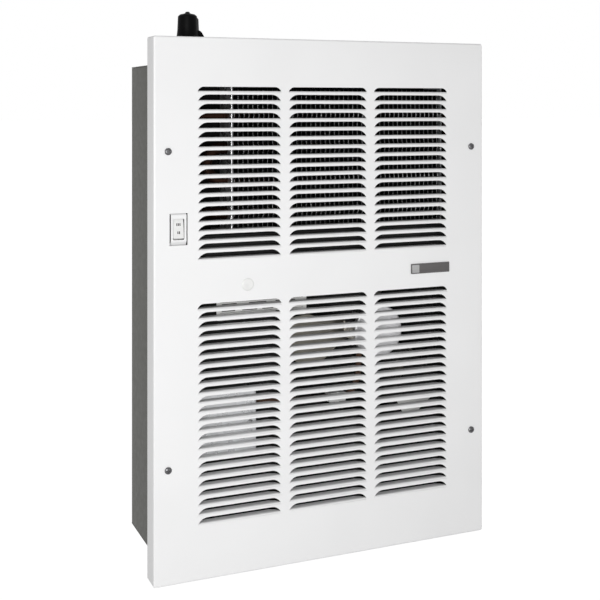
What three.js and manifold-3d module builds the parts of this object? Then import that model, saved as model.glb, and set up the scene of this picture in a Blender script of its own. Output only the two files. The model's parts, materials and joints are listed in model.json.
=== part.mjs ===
// Recessed hot-water fan convector heater: louvred front cover, wall can, finned coil,
// propeller fan and wiring.
// Millimetres. +X is right seen from the front, +Z is up and the cover faces -Y.
// The origin is the centre of the wall can's back face.

import * as THREE from 'three';
import { mergeVertices } from 'three/addons/utils/BufferGeometryUtils.js';
import Module from 'manifold-3d';

const wasm = await Module();
wasm.setup();

// ---------------------------------------------------------------- driving dimensions

const GAP = 0.3;
const SHEET = 1.2;
const ROUND = 10;

const COVER = { width: 472, height: 680, depth: 29.5, lap: 4 };
const CAN = { width: 463, height: 610, depth: 102.5, frontFlange: 20 };

const FACE_Y = -(CAN.depth + COVER.depth - COVER.lap);
const FACE_BACK_Y = FACE_Y + SHEET;
const COVER_RIM_Y = FACE_Y + COVER.depth;
const CAN_FRONT_Y = -CAN.depth;
const CAN_INNER_X = CAN.width / 2 - SHEET;

const LOUVRE = {
  columns: [-123, 0, 123],
  width: 113.4,
  height: 10,
  pitch: 11.68,
  cornerLength: 12,
  bladeDepth: 12,
  bladeRise: 3.1,
};
const UPPER_BANK = { rows: 19, bottomSill: 59.2, firstHeight: 8.1 };
const LOWER_BANK = { rows: 24, bottomSill: -272, firstHeight: 8.9 };

const SCREW = { x: 217.5, z: 197, headRadius: 4.7, headHeight: 2.4, shankRadius: 2, shankLength: 12 };
const SWITCH = {
  x: -204,
  z: 100.2,
  windowWidth: 23,
  windowHeight: 39.7,
  rockerWidth: 13.3,
  rockerHeight: 23.4,
  restTip: -7,
};
const PLUG = { x: -113, z: 26.2, radius: 8, stemRadius: 6.2 };
const BADGE = { x: 152.2, z: 32, width: 59.6, height: 13.7, thickness: 1 };

const COIL = {
  left: -118.4,
  right: 192.5,
  bottom: 90.5,
  top: 276,
  y: -62,
  depth: 44,
  tubeRadius: 8,
  tubeWall: 0.9,
  firstTubeZ: 241,
  tubePitch: 43,
  fins: 20,
  finThickness: 1,
};

const SUPPLY = { x: -172.5, y: COIL.y };
const RETURN = { x: -158, y: -22 };
const STUB_TOP_Z = 352;
const TUBE_END_Z = 304;
const CAP = { bottom: 340.5, baseRadius: 17.2, bodyRadius: 15.2, topRadius: 12.6, top: 372.5, nubTop: 376.5 };

const SHELF_Z = 87;
const DECK = { y: -46, halfWidth: 228, top: SHELF_Z - 0.5, bottom: -303 };
const FAN = { x: 86, z: -54, ringRadius: 121, tipRadius: 116, planeY: -52, pitch: 25, restTurn: 10 };
const MOTOR = { front: -104, rear: -75, radius: 36, shaftRadius: 4 };
const BRACKET = { y: -73.5, sheet: 1.6, reach: 146, footReach: 151, turn: -54 };

const BOX = { left: -222, right: -89, bottom: -201, top: -119, depth: 46 };
const BOX_MIDDLE_Z = (BOX.bottom + BOX.top) / 2;
const BOX_REAR_Y = DECK.y - GAP;
const BOX_FRONT_Y = BOX_REAR_Y - BOX.depth;
const CABLE_ENTRY = { x: -190, y: -70, bore: 6, holeRadius: 9.5 };

const SWITCH_LEAD = { x: SWITCH.x, y: -80, radius: 3 };
const THERMOSTAT_LEAD = { x: -184, y: -64, radius: 2.5 };
const MOTOR_LEAD = { y: BOX_FRONT_Y + 16, z: BOX_MIDDLE_Z + 20, radius: 4 };
const LEAD_HOLE_RADIUS = 5;
const CONNECTOR = { x: 31, y: -82, z: -142, length: 24 };

// ---------------------------------------------------------------- materials

function paint(color, roughness, metalness) {
  return new THREE.MeshStandardMaterial({ color, roughness, metalness });
}

const WHITE_PAINT = paint(0xf0f0ee, 0.4, 0);
const GREY_STEEL = paint(0x6a6a64, 0.5, 0.2);
const GALVANISED = paint(0xa8abac, 0.4, 0.8);
const DARK_ZINC = paint(0x4a4a4c, 0.4, 0.7);
const BRIGHT_STEEL = paint(0xc8cacc, 0.25, 0.9);
const ALUMINIUM = paint(0xc9cccf, 0.35, 0.85);
const COPPER = paint(0xb4693f, 0.35, 0.9);
const BRASS = paint(0xb59a55, 0.35, 0.9);
const BRONZE = paint(0x8a6a3c, 0.5, 0.7);
const LAMINATION = paint(0x55565a, 0.5, 0.6);
const BLACK_PLASTIC = paint(0x121213, 0.5, 0);
const WHITE_PLASTIC = paint(0xededea, 0.35, 0);
const LEAD_BROWN = paint(0x5a3c2a, 0.6, 0);
const GREEN_PAINT = paint(0x2f6b3a, 0.5, 0.2);
const LABEL_GREY = paint(0xd4d5d2, 0.5, 0);

// ---------------------------------------------------------------- solids and placing

function toSolid(geometry) {
  const bare = geometry.index ? geometry.toNonIndexed() : geometry.clone();
  bare.deleteAttribute('normal');
  bare.deleteAttribute('uv');
  const merged = mergeVertices(bare, 1e-4);
  const mesh = new wasm.Mesh({
    numProp: 3,
    vertProperties: new Float32Array(merged.attributes.position.array),
    triVerts: new Uint32Array(merged.index.array),
  });
  return new wasm.Manifold(mesh);
}

function toGeometry(solid) {
  const mesh = solid.getMesh();
  const geometry = new THREE.BufferGeometry();
  geometry.setAttribute('position', new THREE.BufferAttribute(new Float32Array(mesh.vertProperties), 3));
  geometry.setIndex(new THREE.BufferAttribute(new Uint32Array(mesh.triVerts), 1));
  geometry.computeVertexNormals();
  return geometry;
}

function joinSolids(geometries) {
  return geometries.map(toSolid).reduce((sum, next) => sum.add(next));
}

function union(...geometries) {
  return toGeometry(joinSolids(geometries));
}

function cut(geometry, ...cutters) {
  return toGeometry(toSolid(geometry).subtract(joinSolids(cutters)));
}

function box(x0, x1, y0, y1, z0, z1) {
  const geometry = new THREE.BoxGeometry(x1 - x0, y1 - y0, z1 - z0);
  return geometry.translate((x0 + x1) / 2, (y0 + y1) / 2, (z0 + z1) / 2);
}

function outline(points) {
  return new THREE.Shape(points.map(([u, v]) => new THREE.Vector2(u, v)));
}

function circlePoints(x, y, radius, sides) {
  return Array.from({ length: sides }, (_, i) => {
    const angle = 2 * Math.PI * (i + 0.5) / sides;
    return new THREE.Vector2(x + radius * Math.cos(angle), y + radius * Math.sin(angle));
  });
}

function circleHole(x, y, radius, sides = ROUND) {
  return new THREE.Path(circlePoints(x, y, radius, sides).reverse());
}

function extrude(shape, depth) {
  return new THREE.ExtrudeGeometry(shape, { depth, bevelEnabled: false });
}

// A plate lying in the XZ plane, from yFront back to yFront + thickness.
function facePlate(shape, yFront, thickness) {
  return extrude(shape, thickness).rotateX(Math.PI / 2).translate(0, yFront + thickness, 0);
}

// A profile drawn in (y, z), swept along X.
function sweepX(points, x0, x1) {
  const geometry = extrude(outline(points), x1 - x0);
  return geometry.rotateZ(Math.PI / 2).rotateY(Math.PI / 2).translate(x0, 0, 0);
}

// A profile drawn in (x, y), swept up along Z.
function sweepZ(points, z0, z1) {
  return extrude(outline(points), z1 - z0).translate(0, 0, z0);
}

// A profile drawn in (x, z), swept along Y.
function sweepY(points, y0, y1) {
  return facePlate(outline(points), y0, y1 - y0);
}

function lathe(points, sides = ROUND) {
  return new THREE.LatheGeometry(points.map(([r, h]) => new THREE.Vector2(r, h)), sides);
}

// Turned about a line along Y; the profile is drawn in (radius, y).
function turnedY(points, x, z, sides) {
  return lathe(points, sides).translate(x, 0, z);
}

// Turned about a line along Z; the profile is drawn in (radius, z).
function turnedZ(points, x, y, sides) {
  return lathe(points, sides).rotateX(Math.PI / 2).translate(x, y, 0);
}

function rodY(x, z, radius, y0, y1, sides = ROUND) {
  return turnedY([[0, y0], [radius, y0], [radius, y1], [0, y1]], x, z, sides);
}

function rodZ(x, y, radius, z0, z1, sides = ROUND) {
  return turnedZ([[0, z0], [radius, z0], [radius, z1], [0, z1]], x, y, sides);
}

// Turned about a line along X; the profile is drawn in (radius, x).
function turnedX(points, y, z, sides) {
  return lathe(points, sides).rotateZ(-Math.PI / 2).translate(0, y, z);
}

function rodX(y, z, radius, x0, x1, sides = ROUND) {
  return turnedX([[0, x0], [radius, x0], [radius, x1], [0, x1]], y, z, sides);
}

// The radius of a polygon hole that leaves the given radius clear.
function clearRadius(radius, sides) {
  return radius / Math.cos(Math.PI / sides);
}

// ---------------------------------------------------------------- bent tubes and leads

// A route through corner points, each corner rounded by an arc; it is sampled only where it bends.
// A corner is [x, y, z] or, with a bend radius of its own, [x, y, z, radius].
class BentRoute extends THREE.Curve {
  constructor(corners, radius, stepsPerBend) {
    super();
    const points = corners.map(([x, y, z]) => new THREE.Vector3(x, y, z));
    const radii = corners.map((corner) => corner[3] ?? radius);
    this.stations = BentRoute.round(points, radii, stepsPerBend);
  }

  static round(corners, radii, steps) {
    const stations = [corners[0]];
    for (let i = 1; i < corners.length - 1; i += 1) {
      const back = corners[i - 1].clone().sub(corners[i]).normalize();
      const ahead = corners[i + 1].clone().sub(corners[i]).normalize();
      const halfAngle = back.angleTo(ahead) / 2;
      const reach = radii[i] / Math.tan(halfAngle);
      const middle = back.clone().add(ahead).normalize();
      const centre = corners[i].clone().addScaledVector(middle, radii[i] / Math.sin(halfAngle));
      const start = corners[i].clone().addScaledVector(back, reach).sub(centre);
      const end = corners[i].clone().addScaledVector(ahead, reach).sub(centre);
      const sweep = start.angleTo(end);
      const axis = start.clone().cross(end).normalize();
      for (let s = 0; s <= steps; s += 1) {
        stations.push(start.clone().applyAxisAngle(axis, sweep * s / steps).add(centre));
      }
    }
    stations.push(corners[corners.length - 1]);
    return stations.filter((point, i) => i === 0 || point.distanceTo(stations[i - 1]) > 0.01);
  }

  get steps() {
    return this.stations.length - 1;
  }

  getPointAt(u) {
    return this.stations[Math.round(u * this.steps)].clone();
  }

  getPoint(u) {
    return this.getPointAt(u);
  }

  getSpacedPoints() {
    return this.stations.map((point) => point.clone());
  }

  getTangentAt(u) {
    const i = Math.round(u * this.steps);
    const before = this.stations[Math.max(i - 1, 0)];
    const after = this.stations[Math.min(i + 1, this.steps)];
    const here = this.stations[i];
    const incoming = here.clone().sub(before).normalize();
    const outgoing = after.clone().sub(here).normalize();
    return incoming.add(outgoing).normalize();
  }
}

function tube(corners, bendRadius, radius, { sides = 10, bendSteps = 4, wall = 0 } = {}) {
  const route = new BentRoute(corners, bendRadius, bendSteps);
  const section = new THREE.Shape(circlePoints(0, 0, radius, sides));
  if (wall > 0) section.holes.push(circleHole(0, 0, radius - wall, sides));
  return new THREE.ExtrudeGeometry(section, { steps: route.steps, extrudePath: route, bevelEnabled: false });
}

// ---------------------------------------------------------------- the finished group

const heater = new THREE.Group();

function add(name, geometry, material) {
  const mesh = new THREE.Mesh(geometry, material);
  mesh.name = name;
  heater.add(mesh);
  return mesh;
}

// ---------------------------------------------------------------- wall can

// One bent sheet: back, two sides and their front flanges turned inwards.
function canWrapper() {
  const x = CAN.width / 2;
  const lip = x - CAN.frontFlange;
  const inner = x - SHEET;
  const half = [
    [x, 0], [x, CAN_FRONT_Y], [lip, CAN_FRONT_Y], [lip, CAN_FRONT_Y + SHEET],
    [inner, CAN_FRONT_Y + SHEET], [inner, -SHEET],
  ];
  const mirrored = half.map(([px, py]) => [-px, py]).reverse();
  const top = CAN.height / 2 - SHEET - GAP;
  const sheet = sweepZ([...half, ...mirrored], -top, top);
  const keyholes = [-150, 150].flatMap((px) => [-260, 285].map((z) => rodY(px, z, 4, -SHEET - 1, 1, 8)));
  return cut(sheet, ...keyholes);
}

// A flat end with a front lip between the wrapper's flanges and a tab inside each side.
function canEnd(side, holes) {
  const outer = side * CAN.height / 2;
  const inner = outer - side * SHEET;
  const lipEnd = outer - side * 20;
  const half = CAN.width / 2;
  const plate = box(-half, half, CAN_FRONT_Y, 0, Math.min(outer, inner), Math.max(outer, inner));
  const lipX = half - CAN.frontFlange - GAP;
  const tabX = CAN_INNER_X - GAP;
  const low = Math.min(outer, lipEnd);
  const high = Math.max(outer, lipEnd);
  const lip = box(-lipX, lipX, CAN_FRONT_Y, CAN_FRONT_Y + SHEET, low, high);
  const leftTab = box(-tabX, -tabX + SHEET, -95, -8, low, high);
  const rightTab = box(tabX - SHEET, tabX, -95, -8, low, high);
  return cut(union(plate, lip, leftTab, rightTab), ...holes);
}

add('can_wrapper', canWrapper(), GREY_STEEL);
add('can_top', canEnd(1, [
  rodZ(SUPPLY.x, SUPPLY.y, 13, 290, 310),
  rodZ(RETURN.x, RETURN.y, 13, 290, 310),
]), GREY_STEEL);
add('can_bottom', canEnd(-1, [
  rodZ(CABLE_ENTRY.x, CABLE_ENTRY.y, CABLE_ENTRY.holeRadius, -310, -290),
]), GREY_STEEL);

// C-shaped bracket between the can's front flange and the back of the cover.
function coverBracket(side, z) {
  const root = 211.8;
  const outer = 228;
  const back = CAN_FRONT_Y - GAP;
  const front = FACE_BACK_Y + GAP;
  const points = [
    [root, back], [outer, back], [outer, back - SHEET], [root + SHEET, back - SHEET],
    [root + SHEET, front + SHEET], [outer, front + SHEET], [outer, front], [root, front],
  ];
  const shaped = sweepZ(points.map(([x, y]) => [side * x, y]), z - 14, z + 14);
  return cut(shaped, rodY(side * SCREW.x, z, SCREW.shankRadius + GAP, front - 1, front + SHEET + 1));
}

const CORNERS = [
  ['top_left', -1, SCREW.z], ['top_right', 1, SCREW.z],
  ['bottom_left', -1, -SCREW.z], ['bottom_right', 1, -SCREW.z],
];

for (const [place, side, z] of CORNERS) {
  add(`cover_bracket_${place}`, coverBracket(side, z), GALVANISED);
}

// ---------------------------------------------------------------- front cover

function louvreRows(bank) {
  return Array.from({ length: bank.rows }, (_, row) => ({
    sill: bank.bottomSill + (bank.rows - 1 - row) * LOUVRE.pitch,
    height: row === 0 ? bank.firstHeight : LOUVRE.height,
  }));
}

const LOUVRES = [...louvreRows(UPPER_BANK), ...louvreRows(LOWER_BANK)]
  .flatMap((row) => LOUVRE.columns.map((x) => ({ x, ...row })));

// The opening is widest along the sill and narrows to its top edge.
function louvreHole({ x, sill, height }) {
  const half = LOUVRE.width / 2;
  const corner = LOUVRE.cornerLength;
  const points = [
    [x - half, sill], [x + half, sill],
    [x + half - corner, sill + height], [x - half + corner, sill + height],
  ];
  return sweepY(points, FACE_Y - 1, FACE_BACK_Y + 1);
}

// The blade leaves the sill and slopes up into the cover.
function louvreBlade({ x, sill }) {
  const half = LOUVRE.width / 2 - 1;
  const tipY = FACE_Y + LOUVRE.bladeDepth;
  const tipZ = sill + LOUVRE.bladeRise;
  const points = [
    [FACE_Y + 0.3, sill - 0.3], [tipY, tipZ],
    [tipY, tipZ - SHEET], [FACE_Y + 0.9, sill - 1.5],
  ];
  return sweepX(points, x - half, x + half);
}

function frontCover() {
  const x = COVER.width / 2;
  const z = COVER.height / 2;
  const pan = cut(
    box(-x, x, FACE_Y, COVER_RIM_Y, -z, z),
    box(-x + SHEET, x - SHEET, FACE_BACK_Y, COVER_RIM_Y + 1, -z + SHEET, z - SHEET),
  );
  const [u, v] = [SWITCH.windowWidth / 2, SWITCH.windowHeight / 2];
  const switchWindow = box(
    SWITCH.x - u, SWITCH.x + u, FACE_Y - 1, FACE_BACK_Y + 1, SWITCH.z - v, SWITCH.z + v,
  );
  const plugHole = rodY(PLUG.x, PLUG.z, PLUG.stemRadius + GAP, FACE_Y - 1, FACE_BACK_Y + 1);
  const screwHoles = CORNERS.map(([, side, screwZ]) => (
    rodY(side * SCREW.x, screwZ, SCREW.shankRadius + GAP, FACE_Y - 1, FACE_BACK_Y + 1)
  ));
  const pierced = cut(pan, ...LOUVRES.map(louvreHole), switchWindow, plugHole, ...screwHoles);
  return union(pierced, ...LOUVRES.map(louvreBlade));
}

add('front_cover', frontCover(), WHITE_PAINT);

// Pan-head screw with a cross recess, its head against the cover.
function coverScrew(x, z) {
  const seat = FACE_Y - GAP;
  const tip = seat - SCREW.headHeight;
  const r = SCREW.headRadius;
  const profile = [
    [0, tip], [0.55 * r, tip], [0.9 * r, tip + 0.8], [r, tip + 1.6], [r, seat],
    [SCREW.shankRadius, seat], [SCREW.shankRadius, seat + SCREW.shankLength], [0, seat + SCREW.shankLength],
  ];
  const wide = 0.55 * r;
  const crossA = box(x - wide, x + wide, tip - 1, tip + 1.5, z - 0.6, z + 0.6);
  const crossB = box(x - 0.6, x + 0.6, tip - 1, tip + 1.5, z - wide, z + wide);
  return cut(turnedY(profile, x, z, ROUND), crossA, crossB);
}

for (const [place, side, z] of CORNERS) {
  add(`cover_screw_${place}`, coverScrew(side * SCREW.x, z), DARK_ZINC);
}

function holePlug() {
  const seat = FACE_Y - GAP;
  const stemEnd = FACE_BACK_Y + 4;
  const profile = [
    [0, seat - 0.8], [PLUG.radius - 0.5, seat - 0.8], [PLUG.radius, seat - 0.4], [PLUG.radius, seat],
    [PLUG.stemRadius, seat], [PLUG.stemRadius, stemEnd], [PLUG.stemRadius - 1.2, stemEnd],
    [PLUG.stemRadius - 1.2, seat + 0.4], [0, seat + 0.4],
  ];
  return turnedY(profile, PLUG.x, PLUG.z, 12);
}

add('hole_plug', holePlug(), WHITE_PLASTIC);

function badgePlate() {
  const front = FACE_Y - GAP - BADGE.thickness;
  const left = BADGE.x - BADGE.width / 2;
  const [low, high] = [BADGE.z - BADGE.height / 2, BADGE.z + BADGE.height / 2];
  const plate = box(left, left + BADGE.width, front, front + BADGE.thickness, low, high);
  const square = box(left + 1.5, left + 12.5, front - 0.4, front + 0.3, low + 1.5, high - 1.5);
  return union(plate, square);
}

add('badge_plate', badgePlate(), BRIGHT_STEEL);

// ---------------------------------------------------------------- rocker switch

const SWITCH_PLATE_Y = FACE_Y + 0.8;
const ROCKER_PIVOT_Y = FACE_Y + 8.5;

// Hat-shaped bracket: its plate fills the cover's window, its feet stand on the can's left flange.
function switchBracket() {
  const halfHeight = SWITCH.windowHeight / 2 - GAP;
  const back = CAN_FRONT_Y - GAP;
  const front = SWITCH_PLATE_Y;
  const inner = halfHeight - SHEET;
  const foot = halfHeight + 12;
  const upper = [
    [back, inner], [back, foot], [back - SHEET, foot], [back - SHEET, halfHeight], [front, halfHeight],
  ];
  const lower = upper.map(([y, z]) => [y, -z]).reverse();
  const inside = [[front + SHEET, -inner], [front + SHEET, inner]];
  const profile = [...upper, ...lower].concat(inside).map(([y, z]) => [y, z + SWITCH.z]);
  const halfWidth = SWITCH.windowWidth / 2 - 1;
  const hat = sweepX(profile, SWITCH.x - halfWidth, SWITCH.x + halfWidth);
  const feet = [-1, 1].map((side) => {
    const [a, b] = [side * (halfHeight + 2), side * foot].sort((m, n) => m - n);
    return box(-229, SWITCH.x - halfWidth + 1, back - SHEET, back, SWITCH.z + a, SWITCH.z + b);
  });
  const [holeX, holeZ] = [SWITCH.rockerWidth / 2 + GAP, 13.1];
  const window = box(
    SWITCH.x - holeX, SWITCH.x + holeX, front - 1, front + 3, SWITCH.z - holeZ, SWITCH.z + holeZ,
  );
  return cut(union(hat, ...feet), window);
}

function switchBody() {
  const front = SWITCH_PLATE_Y + SHEET + GAP;
  const [x, z] = [SWITCH.x, SWITCH.z];
  const shell = box(x - 9, x + 9, front, front + 15, z - 16.5, z + 16.5);
  const pocketX = SWITCH.rockerWidth / 2 + GAP;
  const pocket = box(x - pocketX, x + pocketX, front - 1, front + 11, z - 15, z + 15);
  const terminals = [-9, 0, 9].map((dz) => (
    box(x - 0.4, x + 0.4, front + 14, front + 20, z + dz - 2.4, z + dz + 2.4)
  ));
  return union(cut(shell, pocket), ...terminals);
}

// The ends are arcs about the pivot, so the gap around the rocker keeps its width as it tips.
function rockerProfile() {
  const reach = SWITCH.rockerHeight / 2;
  const rise = 7.6;
  const radius = Math.hypot(reach, rise);
  const startAngle = Math.atan2(rise, reach);
  const arc = [1, 0.6, 0.2].map((part) => (
    [radius * Math.sin(part * startAngle), radius * Math.cos(part * startAngle)]
  ));
  const upper = [[rise + 0.6, 0], ...arc, [-1.5, 4], [-2.5, 2]];
  const lower = upper.slice(1).map(([u, v]) => [u, -v]).reverse();
  return [...upper, ...lower].map(([u, v]) => [-u, v]);
}

function switchRocker() {
  const half = SWITCH.rockerWidth / 2;
  const mesh = add('switch_rocker', sweepX(rockerProfile(), -half, half), WHITE_PLASTIC);
  mesh.position.set(SWITCH.x, ROCKER_PIVOT_Y, SWITCH.z);
  mesh.rotation.x = THREE.MathUtils.degToRad(SWITCH.restTip);
}

add('switch_bracket', switchBracket(), WHITE_PAINT);
add('switch_body', switchBody(), BLACK_PLASTIC);
switchRocker();

// ---------------------------------------------------------------- coil

const TUBE_LEVELS = [0, 1, 2, 3].map((i) => COIL.firstTubeZ - i * COIL.tubePitch);
const TUBE_CLEARANCE = clearRadius(COIL.tubeRadius + GAP, 8);

function tubeHoles(x0, x1) {
  return TUBE_LEVELS.map((z) => rodX(COIL.y, z, TUBE_CLEARANCE, x0, x1, 8));
}

// Plates on square collars that space them along the tubes.
function coilFins() {
  const [x0, x1] = [COIL.left + GAP, COIL.right - GAP];
  const [y0, y1] = [COIL.y - COIL.depth / 2, COIL.y + COIL.depth / 2];
  const collar = 9.6;
  const pitch = (x1 - x0 - COIL.finThickness) / (COIL.fins - 1);
  const fins = Array.from({ length: COIL.fins }, (_, i) => {
    const x = x0 + i * pitch;
    return box(x, x + COIL.finThickness, y0, y1, COIL.bottom, COIL.top);
  });
  const collars = TUBE_LEVELS.map((z) => (
    box(x0, x1, COIL.y - collar, COIL.y + collar, z - collar, z + collar)
  ));
  return cut(union(...fins, ...collars), ...tubeHoles(x0 - 5, x1 + 5));
}

// Side plate with a foot on the shelf and a flange under the can's top.
function coilEndPlate(side, x) {
  const top = CAN.height / 2 - SHEET - GAP;
  const bottom = SHELF_Z + SHEET + GAP;
  const flange = x + side * 14;
  const outside = x + side * SHEET;
  const points = [
    [x, bottom], [x, top], [flange, top], [flange, top - SHEET], [outside, top - SHEET],
    [outside, bottom + SHEET], [flange, bottom + SHEET], [flange, bottom],
  ];
  const y0 = COIL.y - COIL.depth / 2 - 3;
  const bent = sweepY(points, y0, y0 + COIL.depth + 6);
  return cut(bent, ...tubeHoles(x - 5, x + 5));
}

// One copper tube: up-turned supply end, four passes with three return bends, up-turned return end.
function coilTube() {
  const bend = COIL.tubePitch / 2;
  const right = COIL.right + SHEET + 3 + bend;
  const left = COIL.left - SHEET - 6 - bend;
  const [z1, z2, z3, z4] = TUBE_LEVELS;
  const y = COIL.y;
  const corners = [
    [SUPPLY.x, y, TUBE_END_Z], [SUPPLY.x, y, z1], [right, y, z1], [right, y, z2],
    [left, y, z2], [left, y, z3], [right, y, z3], [right, y, z4],
    [RETURN.x, y, z4, 18], [RETURN.x, RETURN.y, z4, 18], [RETURN.x, RETURN.y, TUBE_END_Z],
  ];
  return tube(corners, bend - 0.01, COIL.tubeRadius, { sides: 8, bendSteps: 2, wall: COIL.tubeWall });
}

add('coil_fins', coilFins(), ALUMINIUM);
add('coil_end_plate_left', coilEndPlate(-1, COIL.left - GAP), GALVANISED);
add('coil_end_plate_right', coilEndPlate(1, COIL.right + GAP), GALVANISED);
add('coil_tube', coilTube(), COPPER);

// ---------------------------------------------------------------- pipe stubs, caps and bleed valve

// Hex adapter above the can with a plain nose that the protective cap pushes onto.
function pipeFitting({ x, y }) {
  const bottom = TUBE_END_Z + GAP;
  const bore = COIL.tubeRadius - 1;
  const nose = [
    [bore, bottom], [10.5, bottom], [10.5, bottom + 18], [11, bottom + 18],
    [11, STUB_TOP_Z], [bore, STUB_TOP_Z], [bore, bottom],
  ];
  const hex = [
    [bore, bottom + 8], [12.5, bottom + 8], [12.5, bottom + 20], [bore, bottom + 20], [bore, bottom + 8],
  ];
  return union(turnedZ(nose, x, y, 12), turnedZ(hex, x, y, 6));
}

function pipeCap({ x, y }) {
  const inner = 11 + GAP;
  const { bottom, baseRadius, bodyRadius, topRadius, top, nubTop } = CAP;
  const profile = [
    [inner, bottom], [baseRadius, bottom], [baseRadius - 0.4, bottom + 1.6], [bodyRadius, bottom + 5],
    [topRadius, top - 3], [topRadius - 1.8, top], [4, top + 1.8],
    [2.6, nubTop], [0, nubTop], [0, top - 2.5], [inner - 1, top - 2.5], [inner, top - 4], [inner, bottom],
  ];
  const body = turnedZ(profile, x, y, 12);
  const lug = [[11, 0], [20.8, 0], [21.2, 3], [19.5, 7.5], [14, 12], [11, 12]];
  const tab = sweepY(lug.map(([u, rise]) => [x + u, bottom + rise]), y - 4.8, y + 4.8);
  return union(body, cut(tab, rodZ(x, y, inner + 0.8, bottom - 1, bottom + 13, 12)));
}

for (const [name, place] of [['supply', SUPPLY], ['return', RETURN]]) {
  add(`${name}_fitting`, pipeFitting(place), BRASS);
  add(`${name}_cap`, pipeCap(place), BLACK_PLASTIC);
}

const BLEED = { x: SUPPLY.x, z: 278, seat: COIL.y - COIL.tubeRadius - GAP };

function bleedValve() {
  const { x, z, seat } = BLEED;
  const profile = [
    [0, seat], [3.5, seat], [3.5, seat - 3], [5, seat - 3], [5, seat - 12],
    [3.2, seat - 12], [3.2, seat - 6], [0, seat - 6],
  ];
  return turnedY(profile.reverse(), x, z, 8);
}

function bleedScrew() {
  const { x, z, seat } = BLEED;
  const tip = seat - 15;
  const inner = seat - 6 - GAP;
  const body = turnedY([[0, tip], [2.8, tip], [2.8, inner], [0, inner]], x, z, 10);
  return cut(body, box(x - 4, x + 4, tip - 1, tip + 1.2, z - 0.5, z + 0.5));
}

add('bleed_valve', bleedValve(), BRASS);
add('bleed_screw', bleedScrew(), BRASS);

// ---------------------------------------------------------------- shelf, rating plate and fan deck

const APRON_Y = CAN_FRONT_Y - 0.5;

// Divider under the coil: rear flange on the deck, level shelf, front apron.
function coilShelf() {
  const top = SHELF_Z + SHEET;
  const deckFace = DECK.y - GAP;
  const shelfProfile = [
    [deckFace + 1, top], [APRON_Y - SHEET, top], [APRON_Y - SHEET, SHELF_Z], [deckFace - SHEET, SHELF_Z],
    [deckFace - SHEET, SHELF_Z - 3], [deckFace, SHELF_Z - 3], [deckFace, SHELF_Z], [deckFace + 1, SHELF_Z],
  ];
  const inside = CAN.width / 2 - CAN.frontFlange - 1;
  const shelf = sweepX(shelfProfile, -inside, inside);
  const apron = box(-188, 206, APRON_Y - SHEET, APRON_Y, 0, top);
  const leadHoles = [SWITCH_LEAD, THERMOSTAT_LEAD].map(({ x, y }) => (
    rodZ(x, y, LEAD_HOLE_RADIUS, SHELF_Z - 5, top + 5, 8)
  ));
  return cut(union(shelf, apron), ...leadHoles);
}

add('coil_shelf', coilShelf(), GALVANISED);

const PLATE_FRONT_Y = APRON_Y - SHEET - GAP;
add('rating_plate', box(-147, -22, PLATE_FRONT_Y - 0.8, PLATE_FRONT_Y, -22, 26), LABEL_GREY);

const RING_SIDES = 28;

function fanDeck() {
  const { halfWidth, top, bottom } = DECK;
  const shape = outline([[-halfWidth, bottom], [halfWidth, bottom], [halfWidth, top], [-halfWidth, top]]);
  shape.holes.push(circleHole(FAN.x, FAN.z, FAN.ringRadius + 1, RING_SIDES));
  return facePlate(shape, DECK.y, SHEET);
}

function fanRing() {
  const inner = FAN.ringRadius;
  const rear = DECK.y - GAP;
  const profile = [
    [inner, rear], [inner + 6, rear], [inner + 6, rear - SHEET], [inner + SHEET, rear - SHEET],
    [inner + SHEET, rear - 15], [inner, rear - 15], [inner, rear],
  ];
  return turnedY(profile.reverse(), FAN.x, FAN.z, RING_SIDES);
}

add('fan_deck', fanDeck(), GALVANISED);
add('fan_ring', fanRing(), GALVANISED);

// ---------------------------------------------------------------- motor

// Two wide arms across the ring, each with a leg back to the deck and a foot.
function motorBracket() {
  const { y, sheet, reach, footReach } = BRACKET;
  const half = [[24, 24], [48, 22], [100, 40], [126, 40], [reach, 23]];
  const quarter = (sx, sz) => half.map(([r, t]) => [sx * r, sz * t]);
  const points = [
    ...quarter(1, 1), ...quarter(1, -1).reverse(), ...quarter(-1, -1), ...quarter(-1, 1).reverse(),
  ];
  const arms = facePlate(outline(points), y, sheet);
  const deckFace = DECK.y - GAP;
  const legs = [-1, 1].flatMap((side) => {
    const [l0, l1] = [side * (reach - sheet), side * reach].sort((m, n) => m - n);
    const [f0, f1] = [side * (reach - sheet), side * footReach].sort((m, n) => m - n);
    return [box(l0, l1, y, deckFace, -23, 23), box(f0, f1, deckFace - sheet, deckFace, -23, 23)];
  });
  const shaftHole = rodY(0, 0, 12, y - 1, y + sheet + 1, 16);
  const bracket = cut(union(arms, ...legs), shaftHole);
  return bracket.rotateY(THREE.MathUtils.degToRad(-BRACKET.turn)).translate(FAN.x, 0, FAN.z);
}

const BEARING = { bore: MOTOR.shaftRadius + 0.1, radius: 8, length: 6 };
const MOTOR_SEAM_Y = MOTOR.front + 7;
const MOTOR_SIDES = 20;

function motorHousing() {
  const r = MOTOR.radius;
  const profile = [
    [r, MOTOR_SEAM_Y], [r, MOTOR.rear - 2], [r - 2, MOTOR.rear], [BEARING.radius + GAP, MOTOR.rear],
    [BEARING.radius + GAP, MOTOR.rear - 1.5], [r - 3, MOTOR.rear - 1.5], [r - 1.5, MOTOR.rear - 3],
    [r - 1.5, MOTOR_SEAM_Y], [r, MOTOR_SEAM_Y],
  ];
  return turnedY(profile, FAN.x, FAN.z, MOTOR_SIDES);
}

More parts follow.
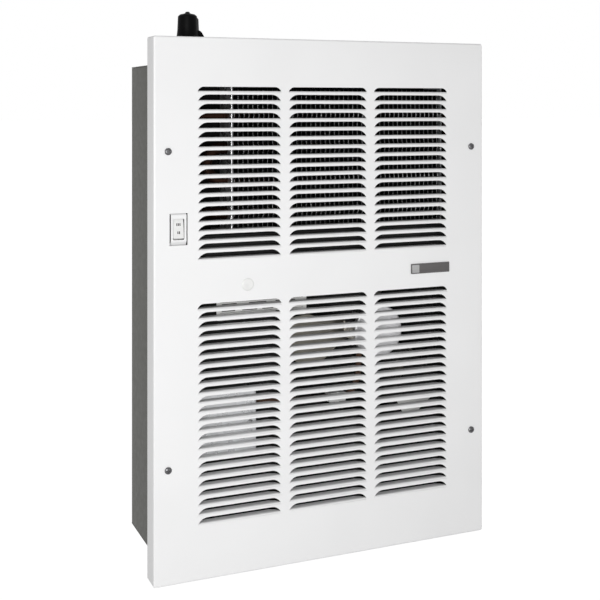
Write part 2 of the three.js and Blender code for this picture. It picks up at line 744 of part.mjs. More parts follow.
// Front end bell, closed in the middle, with a boss for the front bearing.
function motorEndCap() {
  const [r, front, seam] = [MOTOR.radius, MOTOR.front, MOTOR_SEAM_Y - GAP];
  const bossEnd = front + 1.5 + BEARING.length;
  const profile = [
    [0, front], [r - 2.5, front], [r - 0.7, front + 0.7], [r, front + 2.5], [r, seam], [r - 1.5, seam],
    [r - 1.5, front + 3], [r - 3, front + 1.5], [BEARING.radius + 2, front + 1.5],
    [BEARING.radius + 2, bossEnd], [BEARING.radius + GAP, bossEnd], [BEARING.radius + GAP, front + 1.5],
    [0, front + 1.5],
  ];
  return turnedY(profile, FAN.x, FAN.z, MOTOR_SIDES);
}

function ringY(inner, outer, y0, y1, sides) {
  return turnedY([[inner, y0], [outer, y0], [outer, y1], [inner, y1], [inner, y0]], FAN.x, FAN.z, sides);
}

// Laminated ring with the end turns of its winding standing out on both sides.
function motorStator() {
  const outer = MOTOR.radius - 2.6;
  const [front, rear] = [MOTOR_SEAM_Y + 0.5, MOTOR.rear - 3.5];
  const profile = [
    [20, front + 4], [22, front + 4], [24, front], [30, front], [31, front + 4], [outer, front + 4],
    [outer, rear - 4], [31, rear - 4], [30, rear], [24, rear], [22, rear - 4], [20, rear - 4],
    [20, front + 4],
  ];
  return turnedY(profile, FAN.x, FAN.z, 16);
}

const SHAFT_FRONT_Y = MOTOR.front + 2.5;
const SHAFT_REAR_Y = FAN.planeY + 6;

add('motor_bracket', motorBracket(), GALVANISED);
add('motor_housing', motorHousing(), BRIGHT_STEEL);
add('motor_end_cap', motorEndCap(), BRIGHT_STEEL);
add('motor_stator', motorStator(), LAMINATION);
add('motor_bearing_front',
  ringY(BEARING.bore, BEARING.radius, MOTOR.front + 2, MOTOR.front + 2 + BEARING.length, 12), BRONZE);
add('motor_bearing_rear',
  ringY(BEARING.bore, BEARING.radius, MOTOR.rear - BEARING.length, MOTOR.rear, 12), BRONZE);
add('motor_rotor',
  ringY(MOTOR.shaftRadius + GAP, 19.5, MOTOR_SEAM_Y + 4.5, MOTOR.rear - BEARING.length - 1, 16), LAMINATION);
add('motor_shaft', rodY(FAN.x, FAN.z, MOTOR.shaftRadius, SHAFT_FRONT_Y, SHAFT_REAR_Y, 12), BRIGHT_STEEL);

// ---------------------------------------------------------------- fan

function fanHub() {
  const [bore, plane] = [MOTOR.shaftRadius + GAP, FAN.planeY];
  const profile = [
    [bore, plane - 9], [9, plane - 9], [9, plane + 1.7], [16, plane + 1.7],
    [16, plane + 3.2], [bore, plane + 3.2], [bore, plane - 9],
  ];
  return turnedY(profile, FAN.x, FAN.z, 12);
}

// Three wings on a centre plate, each pitched about its own radial line.
function fanBlades() {
  const sheet = 1.4;
  const tip = FAN.tipRadius - 3;
  const edge = [[16, 11], [40, 16], [72, 33], [98, 35], [tip, 22]];
  const wing = outline([...edge.map(([r, t]) => [r, -t]), ...edge.reverse()]);
  const blades = [60, 180, 300].map((angle) => {
    const blade = facePlate(wing, -sheet / 2, sheet);
    blade.rotateX(THREE.MathUtils.degToRad(FAN.pitch));
    return blade.rotateY(THREE.MathUtils.degToRad(-angle - FAN.restTurn));
  });
  const centre = turnedY([[0, -sheet / 2], [28, -sheet / 2], [28, sheet / 2], [0, sheet / 2]], 0, 0, 16);
  const joined = cut(union(centre, ...blades), rodY(0, 0, 9.3, -10, 10, 12));
  return joined.translate(FAN.x, FAN.planeY + 0.7, FAN.z);
}

add('fan_hub', fanHub(), ALUMINIUM);
add('fan_blades', fanBlades(), ALUMINIUM);

// ---------------------------------------------------------------- wiring box

function wiringBox() {
  const { left, right, bottom, top } = BOX;
  const shell = box(left, right, BOX_FRONT_Y, BOX_REAR_Y, bottom, top);
  const hollow = box(
    left + SHEET, right - SHEET, BOX_FRONT_Y - 1, BOX_REAR_Y - SHEET, bottom + SHEET, top - SHEET,
  );
  const leadHole = rodX(MOTOR_LEAD.y, MOTOR_LEAD.z, 8.9, right - 5, right + 5);
  const topHoles = [SWITCH_LEAD, THERMOSTAT_LEAD].map(({ x, y }) => (
    rodZ(x, y, LEAD_HOLE_RADIUS, top - 5, top + 5, 8)
  ));
  const supplyHole = rodZ(CABLE_ENTRY.x, CABLE_ENTRY.y, 8, bottom - 5, bottom + 5);
  return cut(shell, hollow, leadHole, ...topHoles, supplyHole);
}

function boxScrew(x) {
  const seat = BOX_FRONT_Y - GAP - SHEET - GAP;
  const z = BOX_MIDDLE_Z;
  const profile = [
    [0, seat - 2], [2.6, seat - 2], [3.6, seat - 1], [3.6, seat],
    [1.6, seat], [1.6, seat + 6], [0, seat + 6],
  ];
  return cut(turnedY(profile, x, z, 10), box(x - 2.6, x + 2.6, seat - 3, seat - 1.2, z - 0.4, z + 0.4));
}

const BOX_SCREWS = [['left', BOX.left + 8], ['right', BOX.right - 8]];

function wiringBoxCover() {
  const { left, right, bottom, top } = BOX;
  const lid = outline([[left, bottom], [right, bottom], [right, top], [left, top]]);
  lid.holes.push(...BOX_SCREWS.map(([, x]) => circleHole(x, BOX_MIDDLE_Z, 1.9, 8)));
  return facePlate(lid, BOX_FRONT_Y - GAP - SHEET, SHEET);
}

// Insulating block with a barrier between each pair of wells.
function terminalBlock() {
  const [x0, rear] = [-182, BOX_REAR_Y - SHEET - GAP];
  const z = BOX_MIDDLE_Z;
  const body = box(x0, x0 + 50, rear - 14, rear, z - 11, z + 11);
  const wells = [0, 1, 2, 3].map((i) => {
    const x = x0 + 2 + i * 12;
    return box(x, x + 10, rear - 15, rear - 8, z - 9, z + 9);
  });
  return cut(body, ...wells);
}

function leadBushing() {
  const x = BOX.right;
  const profile = [
    [4.3, x - 6], [10, x - 6], [10, x - SHEET - GAP], [8, x - SHEET - GAP], [8, x + GAP], [10, x + GAP],
    [10, x + 2.5], [4.3, x + 2.5], [4.3, x - 6],
  ];
  return turnedX(profile, MOTOR_LEAD.y, MOTOR_LEAD.z, 12);
}

// Two-screw clamp connector in the can's bottom for the building's cable.
function cableConnector() {
  const { x, y, bore } = CABLE_ENTRY;
  const z = -CAN.height / 2;
  const profile = [
    [bore, z - 16], [10.5, z - 16], [10.5, z - 5], [12.5, z - 5], [12.5, z - GAP], [8.6, z - GAP],
    [8.6, z + SHEET + 8], [bore, z + SHEET + 8], [bore, z - 16],
  ];
  const saddle = box(x - 14, x + 14, y - 3.5, y + 3.5, z - 14, z - 8);
  const cableHole = rodZ(x, y, bore, z - 20, z + 12, 10);
  return union(turnedZ(profile, x, y, 10), cut(saddle, cableHole));
}

function groundScrew() {
  const seat = BOX_REAR_Y - SHEET - GAP;
  const [x, z] = [-110, -185];
  const profile = [[0, seat - 5], [3, seat - 5], [4.5, seat - 4], [4.5, seat - 0.5], [0, seat - 0.5]];
  return cut(turnedY(profile, x, z, 6), box(x - 3, x + 3, seat - 6, seat - 4, z - 0.5, z + 0.5));
}

add('wiring_box', wiringBox(), GALVANISED);
add('wiring_box_cover', wiringBoxCover(), GALVANISED);
for (const [side, x] of BOX_SCREWS) add(`wiring_box_screw_${side}`, boxScrew(x), BRIGHT_STEEL);
add('terminal_block', terminalBlock(), BLACK_PLASTIC);
add('lead_bushing', leadBushing(), BLACK_PLASTIC);
add('cable_connector', cableConnector(), GALVANISED);
add('ground_screw', groundScrew(), GREEN_PAINT);

// ---------------------------------------------------------------- low-limit thermostat and leads

const THERMOSTAT = { z: 180, face: RETURN.y - COIL.tubeRadius - GAP - SHEET - 0.6 };

// Spring clip around the return riser.
function thermostatClip() {
  const { x, y } = RETURN;
  const [inner, outer] = [COIL.tubeRadius + GAP, COIL.tubeRadius + GAP + SHEET];
  const [low, high] = [THERMOSTAT.z - 12, THERMOSTAT.z + 12];
  const ring = turnedZ([[inner, low], [outer, low], [outer, high], [inner, high], [inner, low]], x, y, 12);
  return cut(ring, box(x - 5, x + 5, y, y + 20, low - 5, high + 5));
}

function thermostat() {
  const { face, z } = THERMOSTAT;
  const profile = [[0, face], [12, face], [12, face - 4], [8, face - 4], [8, face - 10], [0, face - 10]];
  const body = turnedY(profile.reverse(), RETURN.x, z, 16);
  const tabs = [-4, 4].map((dx) => {
    const x = RETURN.x + dx;
    return box(x - 2.4, x + 2.4, face - 15, face - 9, z - 0.4, z + 0.4);
  });
  return union(body, ...tabs);
}

add('thermostat_clip', thermostatClip(), BRIGHT_STEEL);
add('thermostat', thermostat(), BLACK_PLASTIC);

// From the box's right-hand bushing, through a plug connector, to the bottom of the motor housing.
function motorLeads() {
  const { y, z, radius } = MOTOR_LEAD;
  return tube([
    [BOX.right - 20, y, z], [BOX.right + 25, y, z],
    [CONNECTOR.x - 55, CONNECTOR.y, CONNECTOR.z], [CONNECTOR.x + 22, CONNECTOR.y, CONNECTOR.z],
    [62, -88, -118], [FAN.x - 22, -88, FAN.z - MOTOR.radius + 5],
  ], 12, radius, { sides: 8, bendSteps: 2 });
}

function leadConnector() {
  const { x, y, z, length } = CONNECTOR;
  const half = length / 2;
  const housing = box(x - half, x + half, y - 7.5, y + 7.5, z - 6, z + 6);
  const collar = box(x - 1.5, x + 1.5, y - 9, y + 9, z - 7.5, z + 7.5);
  const boreRadius = clearRadius(MOTOR_LEAD.radius + GAP, 8);
  return cut(union(housing, collar), rodX(y, z, boreRadius, x - half - 1, x + half + 1, 8));
}

function switchLeads() {
  const { x, y, radius } = SWITCH_LEAD;
  return tube([
    [x, y, BOX.top - 20], [x, y, SWITCH.z], [x, SWITCH_PLATE_Y + 24, SWITCH.z],
  ], 8, radius, { sides: 6, bendSteps: 2 });
}

function thermostatLeads() {
  const { x, y, radius } = THERMOSTAT_LEAD;
  const tabEndY = THERMOSTAT.face - 15;
  return tube([
    [x, y, BOX.top - 20], [x, y, 156], [RETURN.x - 16, tabEndY - 6, THERMOSTAT.z - 4],
    [RETURN.x, tabEndY - 4, THERMOSTAT.z],
  ], 8, radius, { sides: 6, bendSteps: 2 });
}

add('motor_leads', motorLeads(), LEAD_BROWN);
add('lead_connector', leadConnector(), WHITE_PLASTIC);
add('switch_leads', switchLeads(), LEAD_BROWN);
add('thermostat_leads', thermostatLeads(), LEAD_BROWN);

export default heater;
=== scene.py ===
"""Looks of the recessed fan convector heater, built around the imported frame.

+Z is up, the louvred cover faces -Y and +X is right seen from the front. Pieces are drawn in
millimetres, the unit of the dimensions below, and piece() turns each drawing into metres.
"""

import json
import math

import bmesh
import bpy
from mathutils import Matrix, Vector
from mathutils.geometry import delaunay_2d_cdt


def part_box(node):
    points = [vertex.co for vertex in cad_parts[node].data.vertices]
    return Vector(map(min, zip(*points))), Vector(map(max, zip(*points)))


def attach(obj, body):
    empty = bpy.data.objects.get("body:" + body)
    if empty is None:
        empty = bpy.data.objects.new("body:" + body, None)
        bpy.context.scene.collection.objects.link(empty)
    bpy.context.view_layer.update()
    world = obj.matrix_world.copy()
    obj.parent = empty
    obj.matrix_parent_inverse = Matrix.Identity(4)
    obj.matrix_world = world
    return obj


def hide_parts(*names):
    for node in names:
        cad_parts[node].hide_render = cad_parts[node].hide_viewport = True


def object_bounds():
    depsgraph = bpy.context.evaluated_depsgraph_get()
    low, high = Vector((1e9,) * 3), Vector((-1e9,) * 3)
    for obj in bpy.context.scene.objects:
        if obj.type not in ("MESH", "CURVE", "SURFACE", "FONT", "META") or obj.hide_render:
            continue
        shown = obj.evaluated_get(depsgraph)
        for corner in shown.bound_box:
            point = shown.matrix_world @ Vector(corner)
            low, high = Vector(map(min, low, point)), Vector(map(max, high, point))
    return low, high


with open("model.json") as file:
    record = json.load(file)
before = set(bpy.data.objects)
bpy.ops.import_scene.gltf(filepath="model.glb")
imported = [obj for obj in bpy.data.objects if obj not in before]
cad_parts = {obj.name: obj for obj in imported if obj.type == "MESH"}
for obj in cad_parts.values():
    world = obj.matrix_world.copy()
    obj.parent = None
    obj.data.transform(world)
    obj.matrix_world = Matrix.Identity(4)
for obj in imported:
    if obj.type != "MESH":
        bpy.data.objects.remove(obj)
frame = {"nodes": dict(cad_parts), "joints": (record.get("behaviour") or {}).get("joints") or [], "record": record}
cad_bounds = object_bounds()

MM = 0.001
BODY_OF = {
    node: body
    for body, members in frame["record"]["behaviour"]["bodies"].items()
    for node in members
}


def cad_box(node):
    """A CAD node's lowest and highest corners, in millimetres."""
    low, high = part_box(node)
    return low / MM, high / MM


def cad_place(node):
    """A CAD node's lowest and highest corners and its middle, in millimetres."""
    low, high = cad_box(node)
    return low, high, (low + high) / 2


def cad_middle(node):
    return cad_place(node)[2]


def pivot(joint):
    """The point that a joint turns about, in millimetres."""
    found = next(j for j in frame["joints"] if j["name"] == joint)
    return [coordinate / MM for coordinate in found["pos_m"]]


# ---------------------------------------------------------------- driving dimensions

SHEET = 1.2
CORNER_SIDES = {"top_left": -1, "top_right": 1, "bottom_left": -1, "bottom_right": 1}

COVER_LOW, COVER_HIGH = cad_box("front_cover")
FACE_Y = COVER_LOW.y
RIM_Y = COVER_HIGH.y
COVER_BEND = 2.4
COVER_CORNER = 0.4
COVER_SCREW_HOLE = 2.3
PLUG_HOLE = 6.4

LOUVRE_COLUMNS = (-123, 0, 123)
LOUVRE_WIDTH = 113.4
LOUVRE_HEIGHT = 10
LOUVRE_PITCH = 11.68
LOUVRE_CORNER = 14
FIRST_ROW_CORNER = 8.5
BLADE_DEPTH = 12
BLADE_RISE = 3.1
BLADE_BEND = 3.0
BLADE_CURL = 80
BANKS = (
    {"rows": 19, "bottom": 59.2, "first_height": 8.1},
    {"rows": 24, "bottom": -272, "first_height": 8.9},
)

CAN_LOW, CAN_HIGH = cad_box("can_wrapper")
CAN_TOP = cad_box("can_top")[1].z
CAN_FRONT_Y = CAN_LOW.y
CAN_FLANGE = 20
KEYHOLE_X = (-150, 150)
KEYHOLE_Z = (-260, 285)
STUB_HOLE = 13
CABLE_HOLE = 9.5

SWITCH_X = cad_middle("switch_body").x
SWITCH_Z = cad_middle("switch_body").z
SWITCH_WINDOW = (23, 39.7)
ROCKER_SIZE = (13.3, 23.4)
ROCKER_HOLE_HALF_HEIGHT = 13.1
ROCKER_PIVOT = pivot("rocker_tip")
ROCKER_TIP = -7

TUBE_RADIUS = 8
COLLAR_RADIUS = 8.6
TUBE_LEVELS = (241, 198, 155, 112)
COIL_LOW, COIL_HIGH = cad_box("coil_fins")
COIL_Y = (COIL_LOW.y + COIL_HIGH.y) / 2
FIN_PITCH = 6.8

SUPPLY = cad_middle("supply_fitting")
RETURN = cad_middle("return_fitting")
CABLE = cad_middle("cable_connector")
LEAD_HOLES = ((cad_middle("switch_leads").x, -80), (-184, -64))
LEAD_HOLE = 5

FAN_X, _, FAN_Z = pivot("fan_spin")
FAN_AT = (FAN_X, 0, FAN_Z)

BRACKET_SHEET = 1.6
BRACKET_TURN = -54
BRACKET_REACH = 146
BLADE_ANGLES = (70, 190, 310)
BLADE_PITCH = 25


# ---------------------------------------------------------------- drawings: outlines

def rounded(points, radius, steps=5, closed=False):
    """The same polyline with an arc at each corner."""
    corners = [Vector(p) for p in points]
    route = []
    for i, corner in enumerate(corners):
        if not closed and i in (0, len(corners) - 1):
            route.append(corner)
            continue
        back = corners[i - 1] - corner
        ahead = corners[(i + 1) % len(corners)] - corner
        half = back.angle(ahead) / 2
        if half > math.radians(89):
            route.append(corner)
            continue
        reach = min(radius / math.tan(half), 0.49 * back.length, 0.49 * ahead.length)
        arc_radius = reach * math.tan(half)
        back.normalize()
        ahead.normalize()
        centre = corner + (back + ahead).normalized() * (arc_radius / math.sin(half))
        start = corner + back * reach - centre
        end = corner + ahead * reach - centre
        sweep = start.angle(end)
        for s in range(steps + 1):
            along = s / steps
            blend = start * math.sin((1 - along) * sweep) + end * math.sin(along * sweep)
            route.append(centre + blend / math.sin(sweep))
    return route


def thick(route, thickness):
    """A closed outline: an open polyline given a thickness to the left of its direction."""
    points = [Vector(p) for p in route]
    offset = []
    for i, point in enumerate(points):
        sides = []
        if i > 0:
            sides.append((point - points[i - 1]).normalized())
        if i < len(points) - 1:
            sides.append((points[i + 1] - point).normalized())
        normals = [Vector((-side.y, side.x)) for side in sides]
        middle = sum(normals, Vector((0, 0))).normalized()
        offset.append(point + middle * (thickness / middle.dot(normals[0])))
    return points + offset[::-1]


def circle(x, z, radius, steps=24, turn=0.0):
    angles = (turn + 2 * math.pi * i / steps for i in range(steps))
    return [(x + radius * math.cos(a), z + radius * math.sin(a)) for a in angles]


def bend(degrees, steps):
    """A bend of radius 1 that starts straight up: how far along and how far aside at each step."""
    angles = (math.radians(degrees) * s / steps for s in range(steps + 1))
    return [(math.sin(a), 1 - math.cos(a)) for a in angles]


def rectangle(x0, x1, z0, z1, radius=0.0, steps=4):
    corners = [(x0, z0), (x1, z0), (x1, z1), (x0, z1)]
    return rounded(corners, radius, steps, closed=True) if radius else corners


def centred(x, z, half_x, half_z, radius=0.0, steps=4):
    return rectangle(x - half_x, x + half_x, z - half_z, z + half_z, radius, steps)


# ---------------------------------------------------------------- drawings: solids

def place(axis, u, v, w):
    """A point of a section (u, v) at distance w along the axis that the section is swept along."""
    return {"X": (w, u, v), "Y": (u, w, v), "Z": (u, v, w)}[axis]


def tidy(bm):
    """Drops loose points and turns the faces outward."""
    loose = [v for v in bm.verts if not v.link_faces]
    bmesh.ops.delete(bm, geom=loose, context="VERTS")
    bmesh.ops.recalc_face_normals(bm, faces=bm.faces)
    return bm


def skin(bm, rings, closed=True):
    """Joins each ring, or open row, of points to the next one."""
    for lower, upper in zip(rings, rings[1:]):
        for i in range(len(lower) if closed else len(lower) - 1):
            j = (i + 1) % len(lower)
            bm.faces.new((lower[i], lower[j], upper[j], upper[i]))


def lofted(outlines):
    """A solid through closed outlines, its ends closed."""
    bm = bmesh.new()
    rings = [[bm.verts.new(point) for point in outline] for outline in outlines]
    skin(bm, rings)
    bm.faces.new(rings[0])
    bm.faces.new(rings[-1][::-1])
    return tidy(bm)


def prism(outline, low, high, axis="Y"):
    """A closed outline swept along an axis."""
    return lofted([[place(axis, p[0], p[1], w) for p in outline] for w in (low, high)])


def block(x0, x1, y0, y1, z0, z1):
    return prism([(x0, z0), (x1, z0), (x1, z1), (x0, z1)], y0, y1)


def filled(outline, holes):
    """Triangles that fill a counter-clockwise outline around its holes: points and corner indices."""
    points = []
    loops = []
    for loop in [outline, *holes]:
        loops.append(list(range(len(points), len(points) + len(loop))))
        points.extend(Vector((p[0], p[1])) for p in loop)
    found = delaunay_2d_cdt(points, [], loops, 1, 1e-5)
    corners, triangles, sources = found[0], found[2], found[5]
    return corners, [t for t, inside in zip(triangles, sources) if inside == [0]]


def plate(outline, holes, low, high, axis="Y"):
    """A flat pierced plate."""
    corners, triangles = filled(outline, holes)
    bm = bmesh.new()
    rows = [[bm.verts.new(place(axis, p.x, p.y, w)) for p in corners] for w in (low, high)]
    uses = {}
    for triangle in triangles:
        for row in rows:
            bm.faces.new([row[i] for i in triangle])
        for i, corner in enumerate(triangle):
            edge = (corner, triangle[(i + 1) % 3])
            uses.setdefault(frozenset(edge), []).append(edge)
    for edges in uses.values():
        if len(edges) == 1:
            a, b = edges[0]
            bm.faces.new((rows[0][a], rows[0][b], rows[1][b], rows[1][a]))
    return tidy(bm)


DRILL_REACH = 5
AXIS_TURNS = {
    "X": Matrix.Rotation(math.pi / 2, 4, "Y"),
    "Y": Matrix.Rotation(-math.pi / 2, 4, "X"),
    "Z": Matrix.Identity(4),
}


def turned(profile, at, axis="Y", steps=48, closed=False):
    """A profile of (radius, height) turned about an axis through a point."""
    bm = bmesh.new()
    rings = []
    for radius, height in profile:
        if radius < 1e-6:
            rings.append([bm.verts.new((0, 0, height))])
            continue
        angles = (2 * math.pi * i / steps for i in range(steps))
        rings.append([bm.verts.new((radius * math.cos(a), radius * math.sin(a), height)) for a in angles])
    pairs = list(zip(rings, rings[1:]))
    if closed:
        pairs.append((rings[-1], rings[0]))
    for lower, upper in pairs:
        for i in range(steps):
            after = (i + 1) % steps
            quad = [lower[i % len(lower)], lower[after % len(lower)],
                    upper[after % len(upper)], upper[i % len(upper)]]
            corners = list(dict.fromkeys(quad))
            if len(corners) > 2:
                bm.faces.new(corners)
    tidy(bm)
    bm.transform(Matrix.Translation(at) @ AXIS_TURNS[axis])
    return bm


def drill(x, y, z, radius, axis="Y", steps=24):
    """A round cutter along an axis through a point, long enough for one sheet."""
    middle = {"X": x, "Y": y, "Z": z}[axis]
    near, far = middle - DRILL_REACH, middle + DRILL_REACH
    at = [0 if name == axis else value for name, value in zip("XYZ", (x, y, z))]
    return turned([(0, near), (radius, near), (radius, far), (0, far)], at, axis, steps)


def as_mesh(bm, name="draft"):
    """Turns a drawing into a mesh and lets go of the drawing."""
    mesh = bpy.data.meshes.new(name)
    bm.to_mesh(mesh)
    bm.free()
    return mesh


def as_object(name, data):
    made = bpy.data.objects.new(name, data)
    bpy.context.scene.collection.objects.link(made)
    return made


def merged(*drawings):
    """Several drawings in one."""
    whole = bmesh.new()
    for bm in drawings:
        mesh = as_mesh(bm)
        whole.from_mesh(mesh)
        bpy.data.meshes.remove(mesh)
    return whole


def boolean(base, cutters, operation="DIFFERENCE"):
    """Cuts each of the closed drawings away from the base, or joins it on."""
    for cutter in cutters:
        drafts = [as_object("draft", as_mesh(bm)) for bm in (base, cutter)]
        modifier = drafts[0].modifiers.new("boolean", "BOOLEAN")
        modifier.object = drafts[1]
        modifier.operation = operation
        modifier.solver = "EXACT"
        graph = bpy.context.evaluated_depsgraph_get()
        result = bpy.data.meshes.new_from_object(drafts[0].evaluated_get(graph))
        base = bmesh.new()
        base.from_mesh(result)
        for draft in drafts:
            mesh = draft.data
            bpy.data.objects.remove(draft)
            bpy.data.meshes.remove(mesh)
        bpy.data.meshes.remove(result)
    return base


def sweep(route, radius, sides):
    """A round bar along a route."""
    points = [Vector(p) for p in route]
    across = (points[1] - points[0]).orthogonal().normalized()
    rings = []
    for i, point in enumerate(points):
        before = points[max(i - 1, 0)]
        after = points[min(i + 1, len(points) - 1)]
        forward = (after - before).normalized()
        across = (across - forward * across.dot(forward)).normalized()
        up = forward.cross(across)
        rings.append([point + across * u + up * v for u, v in circle(0, 0, radius, sides)])
    return lofted(rings)


# ---------------------------------------------------------------- finished pieces

def piece(node, bm, material, part="shell", bevel=0.25, segments=2, thickness=0.0):
    """Makes an object of a drawing: it stands for the node and rides on its body."""
    bm.transform(Matrix.Scale(MM, 4))
    mesh = as_mesh(bm, f"{node}_{part}")
    mesh.materials.append(material)
    mesh.shade_smooth()
    made = as_object(f"{node}_{part}", mesh)
    if thickness:
        solid = made.modifiers.new("sheet", "SOLIDIFY")
        solid.thickness = thickness * MM
        solid.offset = -1
        solid.use_even_offset = True
    soften(made, bevel, segments)
    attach(made, BODY_OF[node])
    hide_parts(node)
    return made


def soften(made, width, segments=2):
    """Rounds an object's sharp edges, if given a width, and keeps its flat faces flat."""
    if width:
        edge = made.modifiers.new("edges", "BEVEL")
        edge.width = width * MM
        edge.segments = segments
        edge.limit_method = "ANGLE"
        edge.angle_limit = math.radians(38)
        edge.harden_normals = True
        edge.miter_outer = "MITER_ARC"


def keep(node, material, bevel=0.25):
    """Leaves a CAD node's shape as it is and gives it a material."""
    made = frame["nodes"][node]
    made.data.materials.clear()
    made.data.materials.append(material)
    soften(made, bevel)


# ---------------------------------------------------------------- materials

def node(tree, kind, values, output, **settings):
    """Adds a shader node, sets or links its inputs, and gives one of its outputs."""
    made = tree.nodes.new("ShaderNode" + kind)
    for name, value in settings.items():
        setattr(made, name, value)
    for name, value in values.items():
        if isinstance(value, bpy.types.NodeSocket):
            tree.links.new(value, made.inputs[name])
        else:
            made.inputs[name].default_value = value
    return made.outputs[output]


class Surface:
    """A procedural material: one Principled shader and the nodes that vary it."""

    def __init__(self, name, color, roughness, metallic=0.0):
        self.material = bpy.data.materials.new(name)
        self.material.use_nodes = True
        self.tree = self.material.node_tree
        self.inputs = self.tree.nodes["Principled BSDF"].inputs
        self.inputs["Base Color"].default_value = (*color, 1)
        self.inputs["Roughness"].default_value = roughness
        self.inputs["Metallic"].default_value = metallic
        self.color = (*color, 1)
        self.roughness = roughness
        self.position = self.tree.nodes.new("ShaderNodeTexCoord").outputs["Object"]

    def noise(self, cell, stretch=(1, 1, 1), detail=3.0):
        """Noise with cells of about the given size, in millimetres."""
        at = node(self.tree, "Mapping", {"Scale": stretch, "Vector": self.position}, "Vector")
        return node(self.tree, "TexNoise", {"Scale": 1 / (cell * MM), "Detail": detail, "Vector": at}, "Fac")

    def cells(self, cell):
        """A random grey for each of the crystals that zinc sets in."""
        values = {"Scale": 1 / (cell * MM), "Vector": self.position}
        color = node(self.tree, "TexVoronoi", values, "Color")
        return node(self.tree, "SeparateColor", {"Color": color}, "Red")

    def along(self, axis):
        """The position along an axis, in metres."""
        return node(self.tree, "SeparateXYZ", {"Vector": self.position}, axis)

    def pattern(self, factor):
        """A pattern as it is, or noise with cells of the given size in millimetres."""
        return self.noise(factor) if isinstance(factor, (int, float)) else factor

    def ramp(self, factor, low, high, start=0.3, end=0.7):
        """A value between low and high as the pattern passes from start to end."""
        values = {"From Min": start, "From Max": end, "To Min": low, "To Max": high}
        return node(self.tree, "MapRange", {**values, "Value": self.pattern(factor)}, "Result")

    def shade(self, factor, amount, start=0.3, end=0.7):
        """Darkens and lightens the colour by the given share."""
        gain = self.ramp(factor, 1 - amount, 1 + amount, start, end)
        base = self.inputs["Base Color"]
        so_far = base.links[0].from_socket if base.links else self.color[:3]
        scaled = node(self.tree, "VectorMath", {0: so_far, "Scale": gain}, "Vector", operation="SCALE")
        self.tree.links.new(scaled, base)
        return self

    def stain(self, factor, color, amount, start=0.5, end=0.75):
        """Mixes in another colour where the pattern is high."""
        base = self.inputs["Base Color"]
        values = {
            "A": base.links[0].from_socket if base.links else self.color,
            "B": (*color, 1),
            "Factor": self.ramp(factor, 0, amount, start, end),
        }
        self.tree.links.new(node(self.tree, "Mix", values, "Result", data_type="RGBA"), base)
        return self

    def polish(self, factor, amount):
        """Varies the roughness by the given amount either way."""
        value = self.ramp(factor, self.roughness - amount, self.roughness + amount)
        self.tree.links.new(value, self.inputs["Roughness"])
        return self

    def bump(self, factor, height):
        """Raises the surface by up to the given height, in millimetres."""
        values = {"Strength": 1, "Distance": height * MM, "Height": self.pattern(factor)}
        self.tree.links.new(node(self.tree, "Bump", values, "Normal"), self.inputs["Normal"])
        return self


def powder_coat(name, color, roughness):
    """Paint baked on as powder: an orange-peel skin, even in colour."""
    surface = Surface(name, color, roughness)
    surface.shade(surface.noise(90, detail=1), 0.012).polish(6, 0.05)
    return surface.bump(surface.noise(1.3, detail=1), 0.012).material


def shade_black_coat(name):
    """Near-black coat on hidden sheet metal, dusty in patches: painted shade that stands in for the shadow inside
    the heater.
    """
    surface = Surface(name, (0.012, 0.012, 0.012), 0.75)
    surface.inputs["Specular IOR Level"].default_value = 0.2
    surface.stain(40, (0.03, 0.029, 0.027), 0.5)
    return surface.bump(surface.noise(1.6, detail=1), 0.01).material


def fin_foil_painted_shade(name):
    """Aluminium foil in its own colour along the cut front edges; behind them painted shade turns it nearly black,
    standing for the shadow between the fins.
    """
    surface = Surface(name, (0.42, 0.42, 0.43), 0.36, 1.0)
    surface.shade(25, 0.3)
    front = COIL_LOW.y * MM
    # Painted shade: within 1.6 mm of the front edge the foil darkens nearly to black.
    surface.stain(surface.along("Y"), (0.015, 0.015, 0.016), 0.97, front, front + 1.6 * MM)
    return surface.bump(0.6, 0.004).material


def zinc_sheet(name, color, roughness, spangle):
    """Galvanised sheet: crystals of different greys, faint rolling marks and a dull bloom."""
    surface = Surface(name, color, roughness, 0.9)
    cells = surface.cells(spangle)
    surface.shade(cells, 0.16, 0, 1).shade(60, 0.08).polish(cells, 0.09)
    return surface.bump(surface.noise(0.8, (1, 1, 0.05)), 0.004).material


def bright_metal(name, color, roughness, stretch=(1, 1, 1), tint=0.06):
    """Plated or drawn metal with fine lines along one direction."""
    surface = Surface(name, color, roughness, 1.0)
    surface.shade(25, tint).polish(surface.noise(3, stretch), 0.08)
    return surface.bump(surface.noise(0.5, stretch), 0.003).material


def aged_metal(name, color, stain, roughness):
    """Bare copper or brass with darker handled patches."""
    surface = Surface(name, color, roughness, 1.0)
    return surface.stain(14, stain, 0.75).shade(2.5, 0.1).polish(9, 0.12).bump(1.2, 0.006).material


def moulded(name, color, roughness, grain=0.6):
    """Moulded plastic with a fine spark-eroded grain."""
    surface = Surface(name, color, roughness)
    return surface.shade(12, 0.05).polish(5, 0.06).bump(grain, 0.008).material


def black_polyethylene(name):
    """Waxy black plastic that keeps only soft highlights."""
    surface = Surface(name, (0.0018, 0.0018, 0.0019), 0.38)
    surface.inputs["Specular IOR Level"].default_value = 0.08
    return surface.polish(5, 0.06).bump(2.5, 0.02).material


def woven_sleeve(name, color):
    """Glass-fibre sleeving: a fine diagonal braid."""
    surface = Surface(name, color, 0.75)
    surface.shade(surface.noise(1.0, (1, 1, 1), 1), 0.35).shade(18, 0.15)
    return surface.bump(surface.noise(0.9, detail=1), 0.08).material


def laminations(name):
    """A stack of thin steel sheets, seen on edge along Y."""
    surface = Surface(name, (0.11, 0.11, 0.12), 0.45, 0.8)
    surface.shade(surface.noise(0.8, (0.02, 1, 0.02), 0), 0.4)
    return surface.bump(surface.noise(0.8, (0.02, 1, 0.02), 0), 0.05).material


